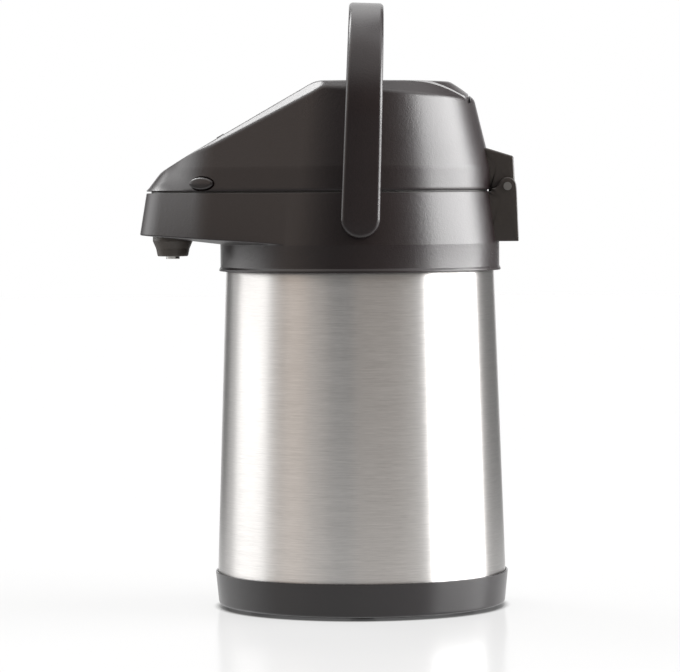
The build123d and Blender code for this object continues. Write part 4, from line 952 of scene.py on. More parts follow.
@dataclass
class CollarMoulding:
    """Ring, deck and hollow nose, as one profile that changes from angle to angle."""

    levels: Levels
    plan: Plan
    finishes: Finishes
    ring: float = 79.0
    lip: float = 0.7
    low_radius: float = 78.8
    nose_flare: float = 4.8
    wall: float = 2.6
    underside_start: float = 32.0
    underside_angle: float = 3.2
    deck_radius: float = 73.8
    neck_hole: float = 41.05
    boss_x: float = 73.2
    boss_radius: float = 10.0
    boss_depth: float = 7.3
    columns: int = 600

    def underside(self, y: Array) -> Array:
        """Height of the nose's sloping underside at a distance forward."""
        rise = math.tan(math.radians(self.underside_angle))
        return self.levels.crease + np.maximum(-y - self.underside_start, 0.0) * rise

    def low_circles(self, inset: float) -> Array:
        """Plan circles at the level of the crease."""
        circles = self.plan.circles(-inset)
        circles[0, 2] = self.low_radius - inset
        fuller = 2.0
        circles[1:, 2] += fuller
        circles[2, 1] -= self.nose_flare - fuller
        return circles

    def build(self) -> None:
        """Builds and dresses the collar and the bosses for the handle."""
        self.finishes.dress(self.moulding(), Body.POT, Slot.BODY, ["collar"])
        for side, word in SIDES:
            self.finishes.dress(self.pivot_boss(side, word), Body.POT, Slot.BODY)

    def moulding(self) -> bpy.types.Object:
        """The collar as one closed surface.

        In the upright plane at angle a the closed section goes up the ring, out along the
        underside, up the nose wall, over the rim, down inside, across the deck to the neck
        hole and back underneath. Its radii are the plan hull's reach at a.
        """
        v = self.levels
        angles = even_angles(self.low_circles(0.0), self.columns)
        sine = np.sin(angles)
        low_out = np.maximum(hull_reach(self.low_circles(0.0), angles), self.ring)
        low_in = hull_reach(self.low_circles(self.wall), angles)
        high_out = hull_reach(self.plan.circles(), angles)
        high_in = hull_reach(self.plan.circles(-self.wall), angles)

        def wall_at(z: Array, low: Array, high: Array) -> Array:
            """Radius of a leaning wall at a height."""
            return low + (high - low) * (z - v.crease) / (v.split - v.crease)

        under = self.underside(low_out * sine)
        out_radius = wall_at(under, low_out, high_out)
        floor_z = np.maximum(self.underside(low_in * sine) + self.wall, v.deck_top + self.wall)
        inner, hole = self.deck_radius, self.neck_hole
        floor_r = np.maximum(wall_at(floor_z, low_in, high_in), inner + 0.05)
        bore, shelf = self.ring - 2.8, v.ring_low + 7.6
        rows = [
            (self.ring - 0.9, v.ring_low, 0.3),
            (self.ring + self.lip, v.ring_low, 0.35),
            (self.ring + self.lip, v.ring_low + 1.1, 0.4),
            (self.ring, v.ring_low + 2.4, 0.6),
            (self.ring, v.crease - 0.1, 0.5),
            (out_radius, under, 0.9),
            (high_out, v.split, 0.45),
            (high_in, v.split, 0.4),
            (floor_r, floor_z, 1.5),
            (inner, floor_z, 0.4),
            (inner, v.deck_top, 1.2),
            (hole, v.deck_top, 0.3),
            (hole, v.deck_low, 0.3),
            (inner, v.deck_low, 1.0),
            (inner, shelf, 0.3),
            (bore, shelf, 0.3),
            (bore, v.ring_low, 0.3),
        ]
        profile = section_of(rows, 4, self.columns)
        return weave("collar_moulding", swing(profile, angles), along=True)

    def pivot_boss(self, side: int, word: str) -> bpy.types.Object:
        """Round boss that carries one pivot of the bail, turned about X."""
        wide, deep = self.boss_radius, self.boss_depth
        profile = section_of([(0, 0, 0), (wide, 0, 0.2), (wide - 1.0, deep, 0.8), (0, deep, 0)], 6)
        angles = np.linspace(0, TAU, 64, endpoint=False)
        place = frame_at((side * self.boss_x, 0.0, self.levels.bail_pivot), (side, 0, 0), (0, 0, 1))
        return weave(f"pivot_boss_{word}", moved(swing(profile, angles), place), along=True)


@dataclass
class LidForm:
    """The lid's outer form as fields that are below zero inside it."""

    levels: Levels
    plan: Plan
    skirt_lean: float = 0.8
    crown_lean: float = 11.6
    nose_rake: float = 10.0
    slope_start: float = 24.2
    slope_angle: float = 29.5
    rear_start: float = 51.0
    rear_angle: float = 30.0
    facet_start: float = 94.5
    facet_front: float = 33.0
    facet_back: float = 52.0
    facet_width: float = 8.6
    facet_drop: float = 6.3
    crown_edge: float = 58.0
    crown_angle: float = 38.0
    crown_tilt: float = 3.5
    brow: float = 2.0
    crease: float = 0.9

    def wall(self, x: Array, y: Array, z: Array, inset: float) -> Array:
        """Distance to the leaning wall: an upright skirt, then a crown that leans in."""
        v = self.levels
        low = np.clip((z - v.lid_low) / (v.skirt_top - v.lid_low), 0, 1)
        high = np.clip((z - v.skirt_top) / (v.lid_top - v.skirt_top), 0, 1.2)
        lean = self.skirt_lean * low + self.crown_lean * high
        return self.plan.distance(x, y, -lean, (self.nose_rake - self.skirt_lean) * low) + inset

    def roof(self, x: Array, y: Array, z: Array, inset: float) -> Array:
        """Distance to the roof: flat top, front slope, rear fall, facets and crown edge."""
        top = self.levels.lid_top
        up = z - top
        slope, rear = math.radians(self.slope_angle), math.radians(self.rear_angle)
        best = blend_max(up, up * math.cos(slope) - (y + self.slope_start) * math.sin(slope), self.brow)
        best = blend_max(best, up * math.cos(rear) + (y - self.rear_start) * math.sin(rear), self.crease)
        run = self.facet_start - self.slope_start
        front = np.array([self.facet_front, -self.facet_start, -run * math.tan(slope)])
        back = np.array([self.facet_back, -self.slope_start, 0.0])
        low = back + np.array([self.facet_width, 0.0, -self.facet_drop])
        normal = np.cross(back - front, low - front)
        normal *= np.sign(normal[2]) / np.linalg.norm(normal)
        facet = normal[0] * (np.abs(x) - back[0]) + normal[1] * (y - back[1]) + normal[2] * up
        best = blend_max(best, facet, self.crease)
        best = blend_max(best, self.cone(x, y, up), self.crease)
        return best + inset

    def cone(self, x: Array, y: Array, up: Array) -> Array:
        """Distance to the cone that bevels the flat top, tilted a little forward."""
        tilt, steep = math.radians(self.crown_tilt), math.radians(self.crown_angle)
        y_axis = y * math.cos(tilt) - up * math.sin(tilt)
        z_axis = y * math.sin(tilt) + up * math.cos(tilt)
        return (np.hypot(x, y_axis) - self.crown_edge) * math.sin(steep) + z_axis * math.cos(steep)

    def field(self, inset: float) -> Field:
        """The whole form, drawn in by a wall thickness."""
        return lambda x, y, z: blend_max(
            self.wall(x, y, z, inset), self.roof(x, y, z, inset), self.crease
        )

    def top_height(self, x: Array, y: Array, inset: float) -> Array:
        """Height of the roof above points of the plan."""
        low = np.full(np.shape(x), self.levels.split)
        high = np.full(np.shape(x), self.levels.lid_top + 10.0)
        return meet(lambda z: self.roof(x, y, z, inset), low, high)


@dataclass
class PlateShape:
    """Outline of the push plate: the hull of a large circle and four small ones."""

    front: float = 65.0
    rear: float = 61.5
    radius: float = 55.0
    front_corner: float = 8.0
    front_half: float = 40.0
    rear_corner: float = 12.0
    rear_half: float = 30.0
    gap: float = 0.7
    thick: float = 2.4
    rim_depth: float = 7.5
    rim_wall: float = 1.6
    pivot_y: float = 54.0
    rear_rim_low: float = 282.0

    def circles(self, grow: float) -> Array:
        """The circles of the outline, grown by a distance."""
        front = (self.front_half - self.front_corner, self.front_corner - self.front, self.front_corner)
        rear = (self.rear_half - self.rear_corner, self.rear - self.rear_corner, self.rear_corner)
        rows = [(side * x, y, radius + grow) for side, _ in SIDES for x, y, radius in (front, rear)]
        return np.array([(0.0, 0.0, self.radius + grow), *rows])


@dataclass
class Lid:
    """Lid shell with its window and its seating rib, and the push plate."""

    levels: Levels
    form: LidForm
    plate: PlateShape
    finishes: Finishes
    wall: float = 2.4
    columns: int = 480
    skirt_rows: int = 8
    crown_rows: int = 88
    fine_rows: int = 300
    longest_ray: float = 170.0
    rib_inset: float = 2.75
    rib_wall: float = 1.1
    rib_depth: float = 1.0
    rib_root: float = 0.9

    def build(self, holes: Sequence[bpy.types.Object]) -> None:
        """Builds and dresses the lid, its rib and the push plate.

        Args:
            holes: Closed cutters for the openings in the shell.
        """
        self.finishes.dress(pierced(self.shell(), holes), Body.LID, Slot.BODY, ["lid_shell"])
        self.finishes.dress(self.rib(), Body.LID, Slot.INNER)
        self.finishes.dress(self.push_plate(), Body.PLATE, Slot.BODY, ["push_plate"])

    def section(self, angles: Array, inset: float, window: Array) -> Array:
        """Profiles of the lid's wall and roof, from its lower edge to the window.

        From the point O on the axis at the lower edge, each ray at an elevation e meets the
        form where its field is zero. Elevations run from 0 to that of the skirt's crease, and
        from there to that of the window's edge.

        Args:
            angles: Angle of each column.
            inset: Wall thickness to draw in by.
            window: Reach of the window's edge along each angle.

        Returns:
            Array of shape (rows, columns, 2) of radius and height.
        """
        v, field = self.levels, self.form.field(inset)
        cosine, sine = np.cos(angles), np.sin(angles)
        zero = np.zeros_like(angles)

        def across(z: Array) -> Array:
            """Radius of the form at a height."""
            return meet(lambda r: field(r * cosine, r * sine, z), zero, zero + 160)

        low, high = zero + v.lid_low, zero + v.lid_top + 8
        edge_z = meet(lambda z: field(window * cosine, window * sine, z), low, high)
        last = np.arctan2(edge_z - v.lid_low, window)
        crease_z = zero + v.skirt_top
        bend = np.arctan2(crease_z - v.lid_low, across(crease_z))
        bend = np.minimum(bend, last * 0.5)
        fine = np.linspace(0, 1, self.fine_rows)[:, None]
        parts = []
        for start, end, rows in ((zero, bend, self.skirt_rows), (bend, last, self.crown_rows)):
            rise = start + (end - start) * fine
            out, up = np.cos(rise), np.sin(rise)
            reach = meet(
                lambda t: field(t * out * cosine, t * out * sine, v.lid_low + t * up),
                np.zeros_like(rise),
                np.full_like(rise, self.longest_ray),
            )
            line = np.stack([reach * out, v.lid_low + reach * up], axis=-1)
            parts.append(even_rows(line, rows))
        return np.concatenate([parts[0], parts[1][1:]])

    def shell(self) -> bpy.types.Object:
        """The lid shell as one closed surface with a window."""
        angles = even_angles(self.form.plan.circles(), self.columns)
        window = hull_reach(self.plate.circles(self.plate.gap), angles)
        outer = self.section(angles, 0.0, window + 0.5)
        inner = self.section(angles, self.wall, window)
        soft, rolled = 0.5, 0.12
        outer[0, :, 1] += soft
        (low_r, low_z), (_, top_z) = outer[0].T, outer[-1].T
        foot = ring_at(low_r - soft, self.levels.lid_low)
        low_edge = ring_at(low_r - 0.15, low_z - soft * 0.7)
        brow = ring_at(window + rolled, top_z - rolled)
        jamb = ring_at(window, top_z - soft)
        inner[0, :, 1] = self.levels.lid_low
        profile = np.concatenate([foot, low_edge, outer, brow, jamb, inner[::-1]])
        return weave("lid_moulding", swing(profile, angles), along=True)

    def rib(self) -> bpy.types.Object:
        """Rib under the lid that seats inside the collar and keeps light out of the split."""
        v = self.levels
        angles = even_angles(self.form.plan.circles(), self.columns)
        outer = hull_reach(self.form.plan.circles(-self.rib_inset), angles)
        inner = hull_reach(self.form.plan.circles(-self.rib_inset - self.rib_wall), angles)
        low, high = v.split - self.rib_depth, v.lid_low + self.rib_root
        rows = [(outer, low, 0.3), (outer, high, 0.1), (inner, high, 0.1), (inner, low, 0.3)]
        profile = section_of(rows, 3, self.columns)
        return weave("lid_seating_rib", swing(profile, angles), along=True)

    def push_plate(self) -> bpy.types.Object:
        """The push plate as one closed surface: roof, rolled edge, rim and hollow underside."""
        plate, roll, rolled = self.plate, 0.6, 0.15
        angles = even_angles(plate.circles(0.0), 360)
        edge = hull_reach(plate.circles(0.0), angles)
        inner_edge = hull_reach(plate.circles(-plate.rim_wall), angles)

        def lift(radius: Array, inset: float) -> Array:
            """Profile points of the roof at given radii."""
            x, y = radius * np.cos(angles), radius * np.sin(angles)
            return np.stack([radius, self.form.top_height(x, y, inset)], axis=-1)

        share = np.linspace(0, 1, 90)[:, None]
        top = lift((edge - roll) * share[::-1], 0.0)
        under = lift(inner_edge * share[::3], plate.thick)
        top_z = top[0, :, 1]
        foot_z = top_z - roll - plate.rim_depth
        behind = edge * np.sin(angles) > plate.pivot_y
        foot_z = np.where(behind, np.maximum(foot_z, plate.rear_rim_low), foot_z)
        rim = [(inner_edge, foot_z), (edge, foot_z), (edge, top_z - roll), (edge - rolled, top_z - rolled)]
        profile = np.concatenate([under, *(ring_at(radius, height) for radius, height in rim), top])
        return weave("push_plate_moulding", swing(profile, angles))


@dataclass
class Hinge:
    """Both halves of the rear hinge, as slabs extruded along X."""

    levels: Levels
    finishes: Finishes
    pin_y: float = 83.0
    pin_z: float = 237.4
    back_y: float = 89.2
    arm_half: float = 16.0
    bracket_half: float = 16.3
    lug_start: float = 16.25
    lug_end: float = 21.0
    pin_end: float = 20.95
    pin_radius: float = 2.3

    def build(self) -> None:
        """Builds and dresses the bracket and the arm."""
        # Painted light: the hinge gets a paler copy of the body plastic.
        paler = self.finishes.hinge
        self.finishes.dress(self.bracket(), Body.POT, Slot.BODY, ["hinge_bracket"], paler)
        for side, word in SIDES:
            self.finishes.dress(self.lug(side, word), Body.POT, Slot.BODY, finish=paler)
        self.finishes.dress(self.arm(), Body.LID, Slot.BODY, ["lid_hinge_arm"], paler)
        for side, word in SIDES:
            self.finishes.dress(self.pin_head(side, word), Body.POT, Slot.SCREW)

    def slab(self, name: str, outline: Array, start: float, end: float, edge: float) -> bpy.types.Object:
        """A side outline in (y, z), extruded along X with rounded rims."""
        place = np.array([[0, 0, 1, 0], [1, 0, 0, 0], [0, 1, 0, 0], [0, 0, 0, 1]], float)
        turn = np.linspace(0, math.pi / 2, 5)
        rim = [(edge * (1 - math.sin(t)), start + edge * (1 - math.cos(t))) for t in turn]
        far = [(edge * (1 - math.cos(t)), end - edge * (1 - math.sin(t))) for t in turn]
        return pillow(name, outline, rim + far, place)

    def arc(self, radius: float, start: float, end: float, count: int) -> list[tuple[float, float, float]]:
        """Corners of an outline on a circle about the pin, between two angles in degrees."""
        turn = np.linspace(math.radians(start), math.radians(end), count)
        return [(self.pin_y + radius * math.cos(t), self.pin_z + radius * math.sin(t), 0.0) for t in turn]

    def bracket(self) -> bpy.types.Object:
        """Middle of the bracket, hollowed where the lid's arm turns."""
        foot, half = self.levels.crease + 0.8, self.bracket_half
        hollow = self.arc(5.4, -12, -147, 9)[1:]
        outline = outline_of(
            [(74.0, foot, 0.2), (self.back_y, foot, 0.8), (88.45, 234.0, 0.2), *hollow, (74.0, 234.5, 0.2)]
        )
        return self.slab("hinge_bracket_body", outline, -half, half, 0.05)

    def lug(self, side: int, word: str) -> bpy.types.Object:
        """One outer lug of the bracket, rounded about the pin."""
        foot = self.levels.crease + 0.8
        outline = outline_of([
            (71.5, foot, 0.2), (self.back_y, foot, 0.8), (88.2, 236.0, 0.4), *self.arc(5.0, 0, 160, 12),
            (76.4, 236.6, 0.6), (74.0, 236.2, 0.2), (73.9, 234.4, 0.2), (71.5, 234.4, 0.2),
        ])
        low, high = sorted((side * self.lug_start, side * self.lug_end))
        return self.slab(f"hinge_lug_{word}", outline, low, high, 0.7)

    def arm(self) -> bpy.types.Object:
        """Upper half of the hinge, on the lid."""
        low = self.levels.lid_low + 0.4
        outline = outline_of([
            (73.0, low, 0.3), (87.5, low, 0.9), (86.7, low + 18.2, 1.6),
            (70.0, low + 23.4, 1.2), (69.0, low + 21.0, 0.3),
        ])
        return self.slab("hinge_arm_body", outline, -self.arm_half, self.arm_half, 1.1)

    def pin_head(self, side: int, word: str) -> bpy.types.Object:
        """Domed head of the hinge pin."""
        place = frame_at((side * self.pin_end, self.pin_y, self.pin_z), (side, 0, 0), (0, 0, 1))
        disc, layers = ellipse(self.pin_radius, self.pin_radius, 40), [(0.0, 0.0), (0.0, 0.4), (0.25, 0.7)]
        return pillow(f"hinge_pin_head_{word}", disc, layers, place, 0.12)


@dataclass
class Bail:
    """Bail handle: a strap carried along an arch."""

    levels: Levels
    finishes: Finishes
    inner_half: float = 81.0
    reach: float = 114.2
    thick: float = 6.0
    corner: float = 60.0
    width_low: float = 21.3
    width_top: float = 19.2
    lean: float = 2.1
    outer_edge: float = 2.3
    inner_edge: float = 1.3

    def build(self) -> None:
        """Builds and dresses the bail."""
        self.finishes.dress(self.strap(), Body.HANDLE, Slot.BODY, ["handle_bail"])

    def path(self) -> tuple[Array, Array, Array, Array]:
        """Middle line of the strap, its outward direction, its half width and its lift.

        The line goes up one arm, round the corner, along the top and down the other arm. Below
        a pivot the line is at -R cos(a) and the half width is R sin(a), so each end is round.
        The lift is cos(a) there and 0 elsewhere.
        """
        mid = self.inner_half + self.thick / 2
        radius = self.corner + self.thick / 2
        top = self.reach + self.thick / 2
        end = self.width_low / 2
        drop = end * np.cos(np.linspace(0, math.pi / 2, 20))
        low = np.stack([np.full_like(drop, mid), -drop], axis=-1)
        arm = np.stack([np.full(30, mid), np.linspace(0, top - radius, 31)[1:]], axis=-1)
        turn = np.linspace(0, math.pi / 2, 49)[1:]
        bend = np.stack([mid - radius + radius * np.cos(turn), top - radius + radius * np.sin(turn)], axis=-1)
        run = np.stack([np.linspace(mid - radius, 0, 9)[1:], np.full(8, top)], axis=-1)
        half = np.concatenate([low, arm, bend, run])
        other = half[-2::-1] * np.array([-1.0, 1.0])
        line = np.concatenate([half, other])
        along = np.gradient(line, axis=0)
        along /= np.linalg.norm(along, axis=-1, keepdims=True)
        out = np.stack([along[:, 1], -along[:, 0]], axis=-1)
        share = np.clip(line[:, 1], 0, None) / (self.reach + self.thick)
        width = (self.width_low + share * (self.width_top - self.width_low)) / 2
        lift = np.clip(-line[:, 1] / end, 0, 1)
        return line, out, np.where(lift > 0, end * np.sqrt(1 - lift**2), width), lift

    def strap(self) -> bpy.types.Object:
        """The strap: a rounded rectangle, whose edges stay rounded where the ends close."""
        line, out, half, lift = self.path()
        spread = np.sqrt(1 - lift**2)
        thick = self.thick / 2
        turn = np.linspace(0, math.pi / 2, 6)
        rows = []
        for sign_y, sign_t in ((1, 1), (-1, 1), (-1, -1), (1, -1)):
            edge = self.outer_edge if sign_t > 0 else self.inner_edge
            for t in turn if sign_y * sign_t > 0 else turn[::-1]:
                inset = edge * (1 - math.cos(t))
                y = sign_y * (half - inset * spread)
                d = sign_t * (thick - edge * (1 - math.sin(t)))
                z = line[:, 1] + out[:, 1] * d + inset * lift
                rows.append(np.stack([line[:, 0] + out[:, 0] * d, y, z], axis=-1))
        ring = np.stack(rows[::-1], axis=1)
        tilt = math.radians(-self.lean)
        y = ring[..., 1] * math.cos(tilt) - ring[..., 2] * math.sin(tilt)
        z = ring[..., 1] * math.sin(tilt) + ring[..., 2] * math.cos(tilt)
        return weave("bail_strap", np.stack([ring[..., 0], y, z + self.levels.bail_pivot], axis=-1))


@dataclass
class Spout:
    """Bell-shaped nozzle under the nose, with its steel tip."""

    finishes: Finishes
    y: float = -106.0
    low: float = 198.9
    top: float = 211.6
    bore: float = 4.0
    waist: float = 9.5
    wide: float = 11.3
    tip_bore: float = 3.0
    tip_radius: float = 3.9

    def build(self) -> None:
        """Builds and dresses the nozzle and its tip."""
        low, middle = self.low, (0.0, self.y)
        bell = turned(
            "spout_bell",
            [
                (self.bore, low, 0.3),
                (8.6, low, 1.0),
                (self.waist, low + 4.4, 2.0),
                (self.wide, low + 8.6, 1.0),
                (self.wide, self.top, 0.2),
                (self.bore, self.top, 0.2),
            ],
            columns=96,
            centre=middle,
        )
        # Painted light: the nozzle gets a paler copy of the body plastic.
        self.finishes.dress(bell, Body.POT, Slot.BODY, ["spout_nozzle"], self.finishes.nozzle)
        end, root, bore, radius = low - 1.5, low + 8, self.tip_bore, self.tip_radius
        corners = [(bore, end, 0.25), (radius, end, 0.25), (radius, root, 0.1), (bore, root, 0.1)]
        tip = turned("spout_tip_tube", corners, columns=64, centre=middle)
        self.finishes.dress(tip, Body.POT, Slot.TUBE, ["spout_tip"])


@dataclass
class Controls:
    """Release buttons in the lid's skirt, and the openings for them and for the travel lock."""

    levels: Levels
    form: LidForm
    finishes: Finishes
    y: float = -88.0
    rise: float = 4.3
    half_long: float = 8.0
    half_high: float = 3.3
    gap: float = 0.4
    angle: float = 34.0
    lock_y: float = -78.0
    slot_half: float = 7.2
    slot_high: float = 2.7
    wall_step: float = 0.26
    hook_long: float = 9.0
    hook_wide: float = 3.5
    coil_radius: float = 2.0
    coil_low: float = -12.05
    coil_high: float = -6.45
    coil_wire: float = 0.3

    def build(self) -> None:
        """Builds and dresses both buttons, their hooks and their springs."""
        for (side, word), body in zip(SIDES, (Body.BUTTON_RIGHT, Body.BUTTON_LEFT)):
            self.finishes.dress(self.button(side, word), body, Slot.TRIM, [f"release_button_{word}"])
            self.finishes.dress(self.hook(side, word), body, Slot.TRIM)
            self.finishes.dress(self.spring(side, word), Body.LID, Slot.SPRING, [f"release_spring_{word}"])

    def holes(self) -> list[bpy.types.Object]:
        """Cutters for the two button holes and the lock's slot."""
        bevel = 0.6
        wide = ellipse(self.half_long + self.gap + bevel, self.half_high + self.gap + bevel)
        layers = [(bevel, -7), (bevel, -0.8), (0, -0.1), (0, 5)]
        x, y = self.slot_half, self.slot_high
        slot = outline_of([(-x, -y, 1.5), (x, -y, 1.5), (x, y, 1.5), (-x, y, 1.5)])
        cuts = [pillow("button_hole", wide, layers, self.place(side)) for side, _ in SIDES]
        return cuts + [pillow("lock_hole", slot, [(0, -4), (0, 4)], self.slope())]

    def slope(self) -> Array:
        """Placement of the lock: z out of the lid's slope, y up it."""
        tilt = math.radians(self.form.slope_angle)
        height = self.levels.lid_top + (self.lock_y + self.form.slope_start) * math.tan(tilt)
        out = (0, -math.sin(tilt), math.cos(tilt))
        return frame_at((0, self.lock_y, height), out, (0, math.cos(tilt), math.sin(tilt)))

    def place(self, side: int) -> Array:
        """Placement of a button: z outwards along its travel, y up."""
        turn = math.radians(self.angle)
        z = self.levels.lid_low + self.rise
        middle = self.form.plan.middle - self.wall_step
        foot = math.sqrt(middle**2 - (self.y + self.form.plan.middle_out) ** 2)
        return frame_at((side * foot, self.y, z), (side * math.cos(turn), -math.sin(turn), 0), (0, 0, 1))

    def button(self, side: int, word: str) -> bpy.types.Object:
        """Oval button with a soft rim and a slightly domed face."""
        layers = [(0.0, -4.6), (0.0, 0.45), (0.12, 0.7), (0.75, 1.15), (1.0, 1.22)]
        oval = ellipse(self.half_long, self.half_high)
        return pillow(f"release_button_cap_{word}", oval, layers, self.place(side), 0.25)

    def hook(self, side: int, word: str) -> bpy.types.Object:
        """Flange behind the wall, which narrows to a hook that hangs into the collar."""
        low, long, wide, top = 1.0 - self.rise, self.hook_long, self.hook_wide, 4.3
        corners = [
            (-wide, low - long, 0.6), (wide, low - long, 0.6), (wide, low, 0.5), (long, low, 0.5),
            (long, top, 0.8), (-long, top, 0.8), (-long, low, 0.5), (-wide, low, 0.5),
        ]
        layers = [(0.2, -6.0), (0.0, -5.8), (0.0, -4.8), (0.2, -4.6)]
        return pillow(f"release_hook_{word}", outline_of(corners), layers, self.place(side))

    def spring(self, side: int, word: str) -> bpy.types.Object:
        """Small coil between a button and its post."""
        place = self.place(side)
        path = moved(helix(self.coil_radius, self.coil_low, self.coil_high, 4, 24), place)
        coil = wire(f"release_coil_{word}", path, self.coil_wire, 8)
        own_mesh(coil)
        return coil


@dataclass
class Pump:
    """Bellows and its spring inside the lid."""

    finishes: Finishes
    y: float = 4.0
    low: float = 241.5
    high: float = 283.7
    folds: int = 5
    radius: float = 36.0
    depth: float = 7.0
    wall: float = 1.92
    coil_radius: float = 22.0
    coil_wire: float = 0.9

    def build(self) -> None:
        """Builds and dresses the bellows and its spring."""
        low, bellows, spring = self.low, self.bellows(), self.spring()
        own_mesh(bellows)
        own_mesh(spring)
        self.finishes.dress(bellows, Body.LID, Slot.BELLOWS, ["bellows"])
        self.finishes.dress(spring, Body.LID, Slot.SPRING, ["bellows_spring"])

    def bellows(self) -> bpy.types.Object:
        """Folded wall of the bellows, out and in by turns."""
        half_pitch = (self.high - self.low) / self.folds / 2
        outer = [
            (self.radius - self.depth * (1 - index % 2), self.low + index * half_pitch, 1.6)
            for index in range(2 * self.folds + 1)
        ]
        inner = [(radius - self.wall, z, rounding) for radius, z, rounding in reversed(outer)]
        return turned("pump_bellows", outer + inner, 120, (0.0, self.y), 3)

    def spring(self) -> bpy.types.Object:
        """Coil inside the bellows."""
        path = helix(self.coil_radius, self.low + self.coil_wire, self.high - self.coil_wire, 5, 48)
        return wire("pump_spring", path + np.array([0.0, self.y, 0.0]), self.coil_wire, 10)


# Studio
@dataclass(frozen=True)
class SoftBox:
    """Upright soft box: azimuth of its middle and two half widths in degrees, and its strength."""

    middle: float
    full: float
    edge: float
    strength: float


SIDE_BOXES = (SoftBox(88, 25, 31, 12.0), SoftBox(-106, 14, 26, 1.7))

# Azimuth in degrees, level and warmth of the surround
SKY = (
    (-180, 0.95, 0), (-166, 0.95, 0), (-160, 0.10, 0), (-148, 0.14, 0), (-138, 0.7, 0), (-126, 1.0, 0),
    (-84, 0.95, 0), (-77, 0.72, 1), (-70, 0.46, 2), (-64, 0.68, 2), (-52, 0.56, 2), (-42, 0.38, 1),
    (-31, 0.24, 1), (-25, 0.12, 0), (-10, 0.10, 0), (-2, 0.18, 2), (30, 0.20, 2), (44, 0.33, 1),
    (54, 0.52, 0), (60, 1.0, 0), (112, 1.0, 0), (122, 0.6, 0), (132, 0.2, 0), (152, 0.12, 0),
    (161, 0.12, 0), (167, 0.95, 0), (180, 0.95, 0),
)


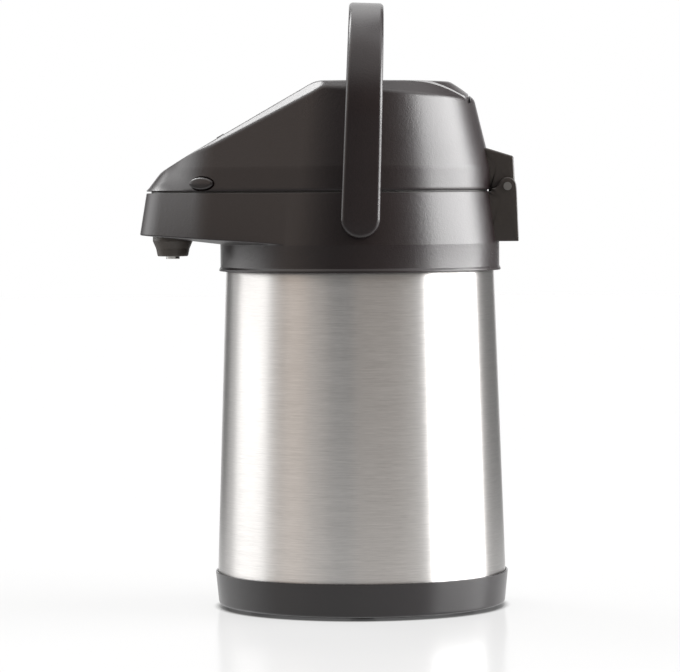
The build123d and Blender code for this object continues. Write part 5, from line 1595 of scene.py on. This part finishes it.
@dataclass(frozen=True)
class Studio:
    """Pale floor, soft sky with broad soft boxes, and the camera."""

    camera_x: float = 2.064
    camera_y: float = -0.011
    camera_z: float = 0.237
    pitch_down: float = 2.33
    roll: float = 0.38
    lens: float = 192.7
    sensor: float = 36.0
    floor_half: float = 6.0
    floor_grey: float = 0.10
    gloss_roughness: float = 0.16
    gloss_share: float = 0.16
    # Reach of the painted contact shadow on the floor, in metres.
    painted_shadow_width: float = 0.006
    sky_gain: float = 1.35
    top_box_way: tuple[float, float, float] = (-0.507, -0.514, 0.68)
    top_box_strength: float = 9.0
    zenith_strength: float = 0.9
    red_per_warmth: float = 0.08
    blue_per_warmth: float = 0.06

    def build(self) -> None:
        """Builds the floor, the world and the camera."""
        self.floor()
        self.world()
        self.camera()
        bpy.context.scene.view_settings.view_transform = "Standard"

    def floor(self) -> None:
        """A wide pale floor with a soft gloss, which keeps the pot's shadow.

        It glows for the camera, with a painted contact shadow that darkens the glow close to
        where the pot stands. What the pot mirrors of it glows most near the middle.
        """
        size, grey = self.floor_half, self.floor_grey
        corners = np.array([(-size, -size, 0), (size, -size, 0), (size, size, 0), (-size, size, 0)], float)
        floor = mesh_object("pale_floor", corners, [[0, 1, 2, 3]])
        material, w, matt = new_material("pale_floor")
        w.feed(matt, {"Base Color": (grey, grey, grey, 1), "Specular IOR Level": 0.0})
        gloss = w.add("ShaderNodeBsdfGlossy", {"Roughness": self.gloss_roughness})
        surface = w.add("ShaderNodeMixShader", {0: self.gloss_share, 1: matt.outputs[0], 2: gloss[0]})
        ray = w.add("ShaderNodeLightPath")
        where = w.add("ShaderNodeTexCoord")["Object"]
        away = w.add("ShaderNodeVectorMath", {0: where}, operation="LENGTH")["Value"]
        near = w.math("MULTIPLY_ADD", w.fade(away, 0.6, 0.18), 0.55, 0.15)
        mirrored = w.math("MAXIMUM", ray["Is Glossy Ray"], ray["Is Transmission Ray"])
        # Painted contact shadow: ambient occlusion darkens the floor's glow for the camera near the pot.
        open_sky = w.add("ShaderNodeAmbientOcclusion", {"Distance": self.painted_shadow_width}, samples=16)["AO"]
        lit = w.math("MULTIPLY_ADD", w.fade(open_sky, 0.35, 0.9), 0.6, 0.06)
        seen = w.math("MULTIPLY", ray["Is Camera Ray"], lit)
        strength = w.math("MAXIMUM", seen, w.math("MULTIPLY", mirrored, near))
        glow = w.add("ShaderNodeEmission", {"Color": WHITE, "Strength": strength})
        total = w.add("ShaderNodeAddShader", {0: surface[0], 1: glow[0]})
        w.feed(w.tree.nodes["Material Output"], {"Surface": total[0]})
        floor.data.materials.append(material)

    def world(self) -> None:
        """A white surround for what the camera sees, and broad soft boxes for the light.

        The direction's azimuth picks a level from a ramp, and upright soft boxes are added to
        it, which fade out above. One more soft box and a dim glow are overhead.
        """
        world = bpy.data.worlds.new("studio_surround")
        bpy.context.scene.world = world
        world.use_nodes = True
        w = Wiring(world.node_tree)
        way = w.add("ShaderNodeTexCoord")["Generated"]
        parts = w.add("ShaderNodeSeparateXYZ", {0: way})
        share = w.math("MULTIPLY_ADD", w.math("ARCTAN2", parts["Y"], parts["X"]), 1 / TAU, 0.5)
        boxes: object = 0.0
        for box in SIDE_BOXES:
            away = w.math("ABSOLUTE", w.math("SUBTRACT", share, box.middle / 360 + 0.5))
            mask = w.fade(away, box.edge / 360, box.full / 360)
            boxes = w.math("MULTIPLY_ADD", mask, box.strength, boxes)
        ends = {0: way, 1: self.top_box_way}
        toward = w.add("ShaderNodeVectorMath", ends, operation="DOT_PRODUCT")["Value"]
        overhead = w.math("MULTIPLY", w.fade(toward, 0.95, 0.985), self.top_box_strength)
        overhead = w.math("MULTIPLY_ADD", w.fade(parts["Z"], 0.5, 0.8), self.zenith_strength, overhead)
        level = w.math("MULTIPLY_ADD", boxes, w.fade(parts["Z"], 0.62, 0.4), overhead)
        gain = {0: self.sky(w, share), 1: (self.sky_gain,) * 3, 2: level}
        light = w.add("ShaderNodeVectorMath", gain, operation="MULTIPLY_ADD")[0]
        sides = {"Factor": w.add("ShaderNodeLightPath")["Is Camera Ray"], "A": light, "B": WHITE}
        mixed = w.add("ShaderNodeMix", sides, data_type="RGBA")
        w.feed(w.tree.nodes["Background"], {"Color": mixed["Result"], "Strength": 1.0})

    def sky(self, w: Wiring, share: bpy.types.NodeSocket) -> bpy.types.NodeSocket:
        """Colour of the surround at a share of the full turn."""
        colour = w.add("ShaderNodeValToRGB", {0: share})["Color"]
        elements = colour.node.color_ramp.elements
        while len(elements) < len(SKY):
            elements.new(0.5)
        for element, (degrees, level, warmth) in zip(elements, SKY):
            red, blue = 1 + self.red_per_warmth * warmth, 1 - self.blue_per_warmth * warmth
            element.position = degrees / 360 + 0.5
            element.color = (level * red, level, level * blue, 1)
        return colour

    def camera(self) -> None:
        """A long lens at the photograph's angle."""
        data = bpy.data.cameras.new("photo_camera")
        data.lens = self.lens
        data.sensor_width = self.sensor
        camera = bpy.data.objects.new("photo_camera", data)
        bpy.context.scene.collection.objects.link(camera)
        camera.location = (self.camera_x, self.camera_y, self.camera_z)
        camera.rotation_euler = [math.radians(turn) for turn in (90 - self.pitch_down, self.roll, 90)]
        bpy.context.scene.camera = camera


def main() -> None:
    """Builds the studio and every sub-assembly in order."""
    logging.basicConfig(level=logging.INFO, format="%(name)s: %(message)s")
    Studio().build()
    finishes = Finishes()
    finishes.dress_frame()
    levels, plan = Levels(), Plan()
    form = LidForm(levels, plan)
    Vessel(levels, finishes).build()
    CollarMoulding(levels, plan, finishes).build()
    controls = Controls(levels, form, finishes)
    Lid(levels, form, PlateShape(), finishes).build(controls.holes())
    Hinge(levels, finishes).build()
    Bail(levels, finishes).build()
    Spout(finishes).build()
    controls.build()
    Pump(finishes).build()


if __name__ == "__main__":
    main()
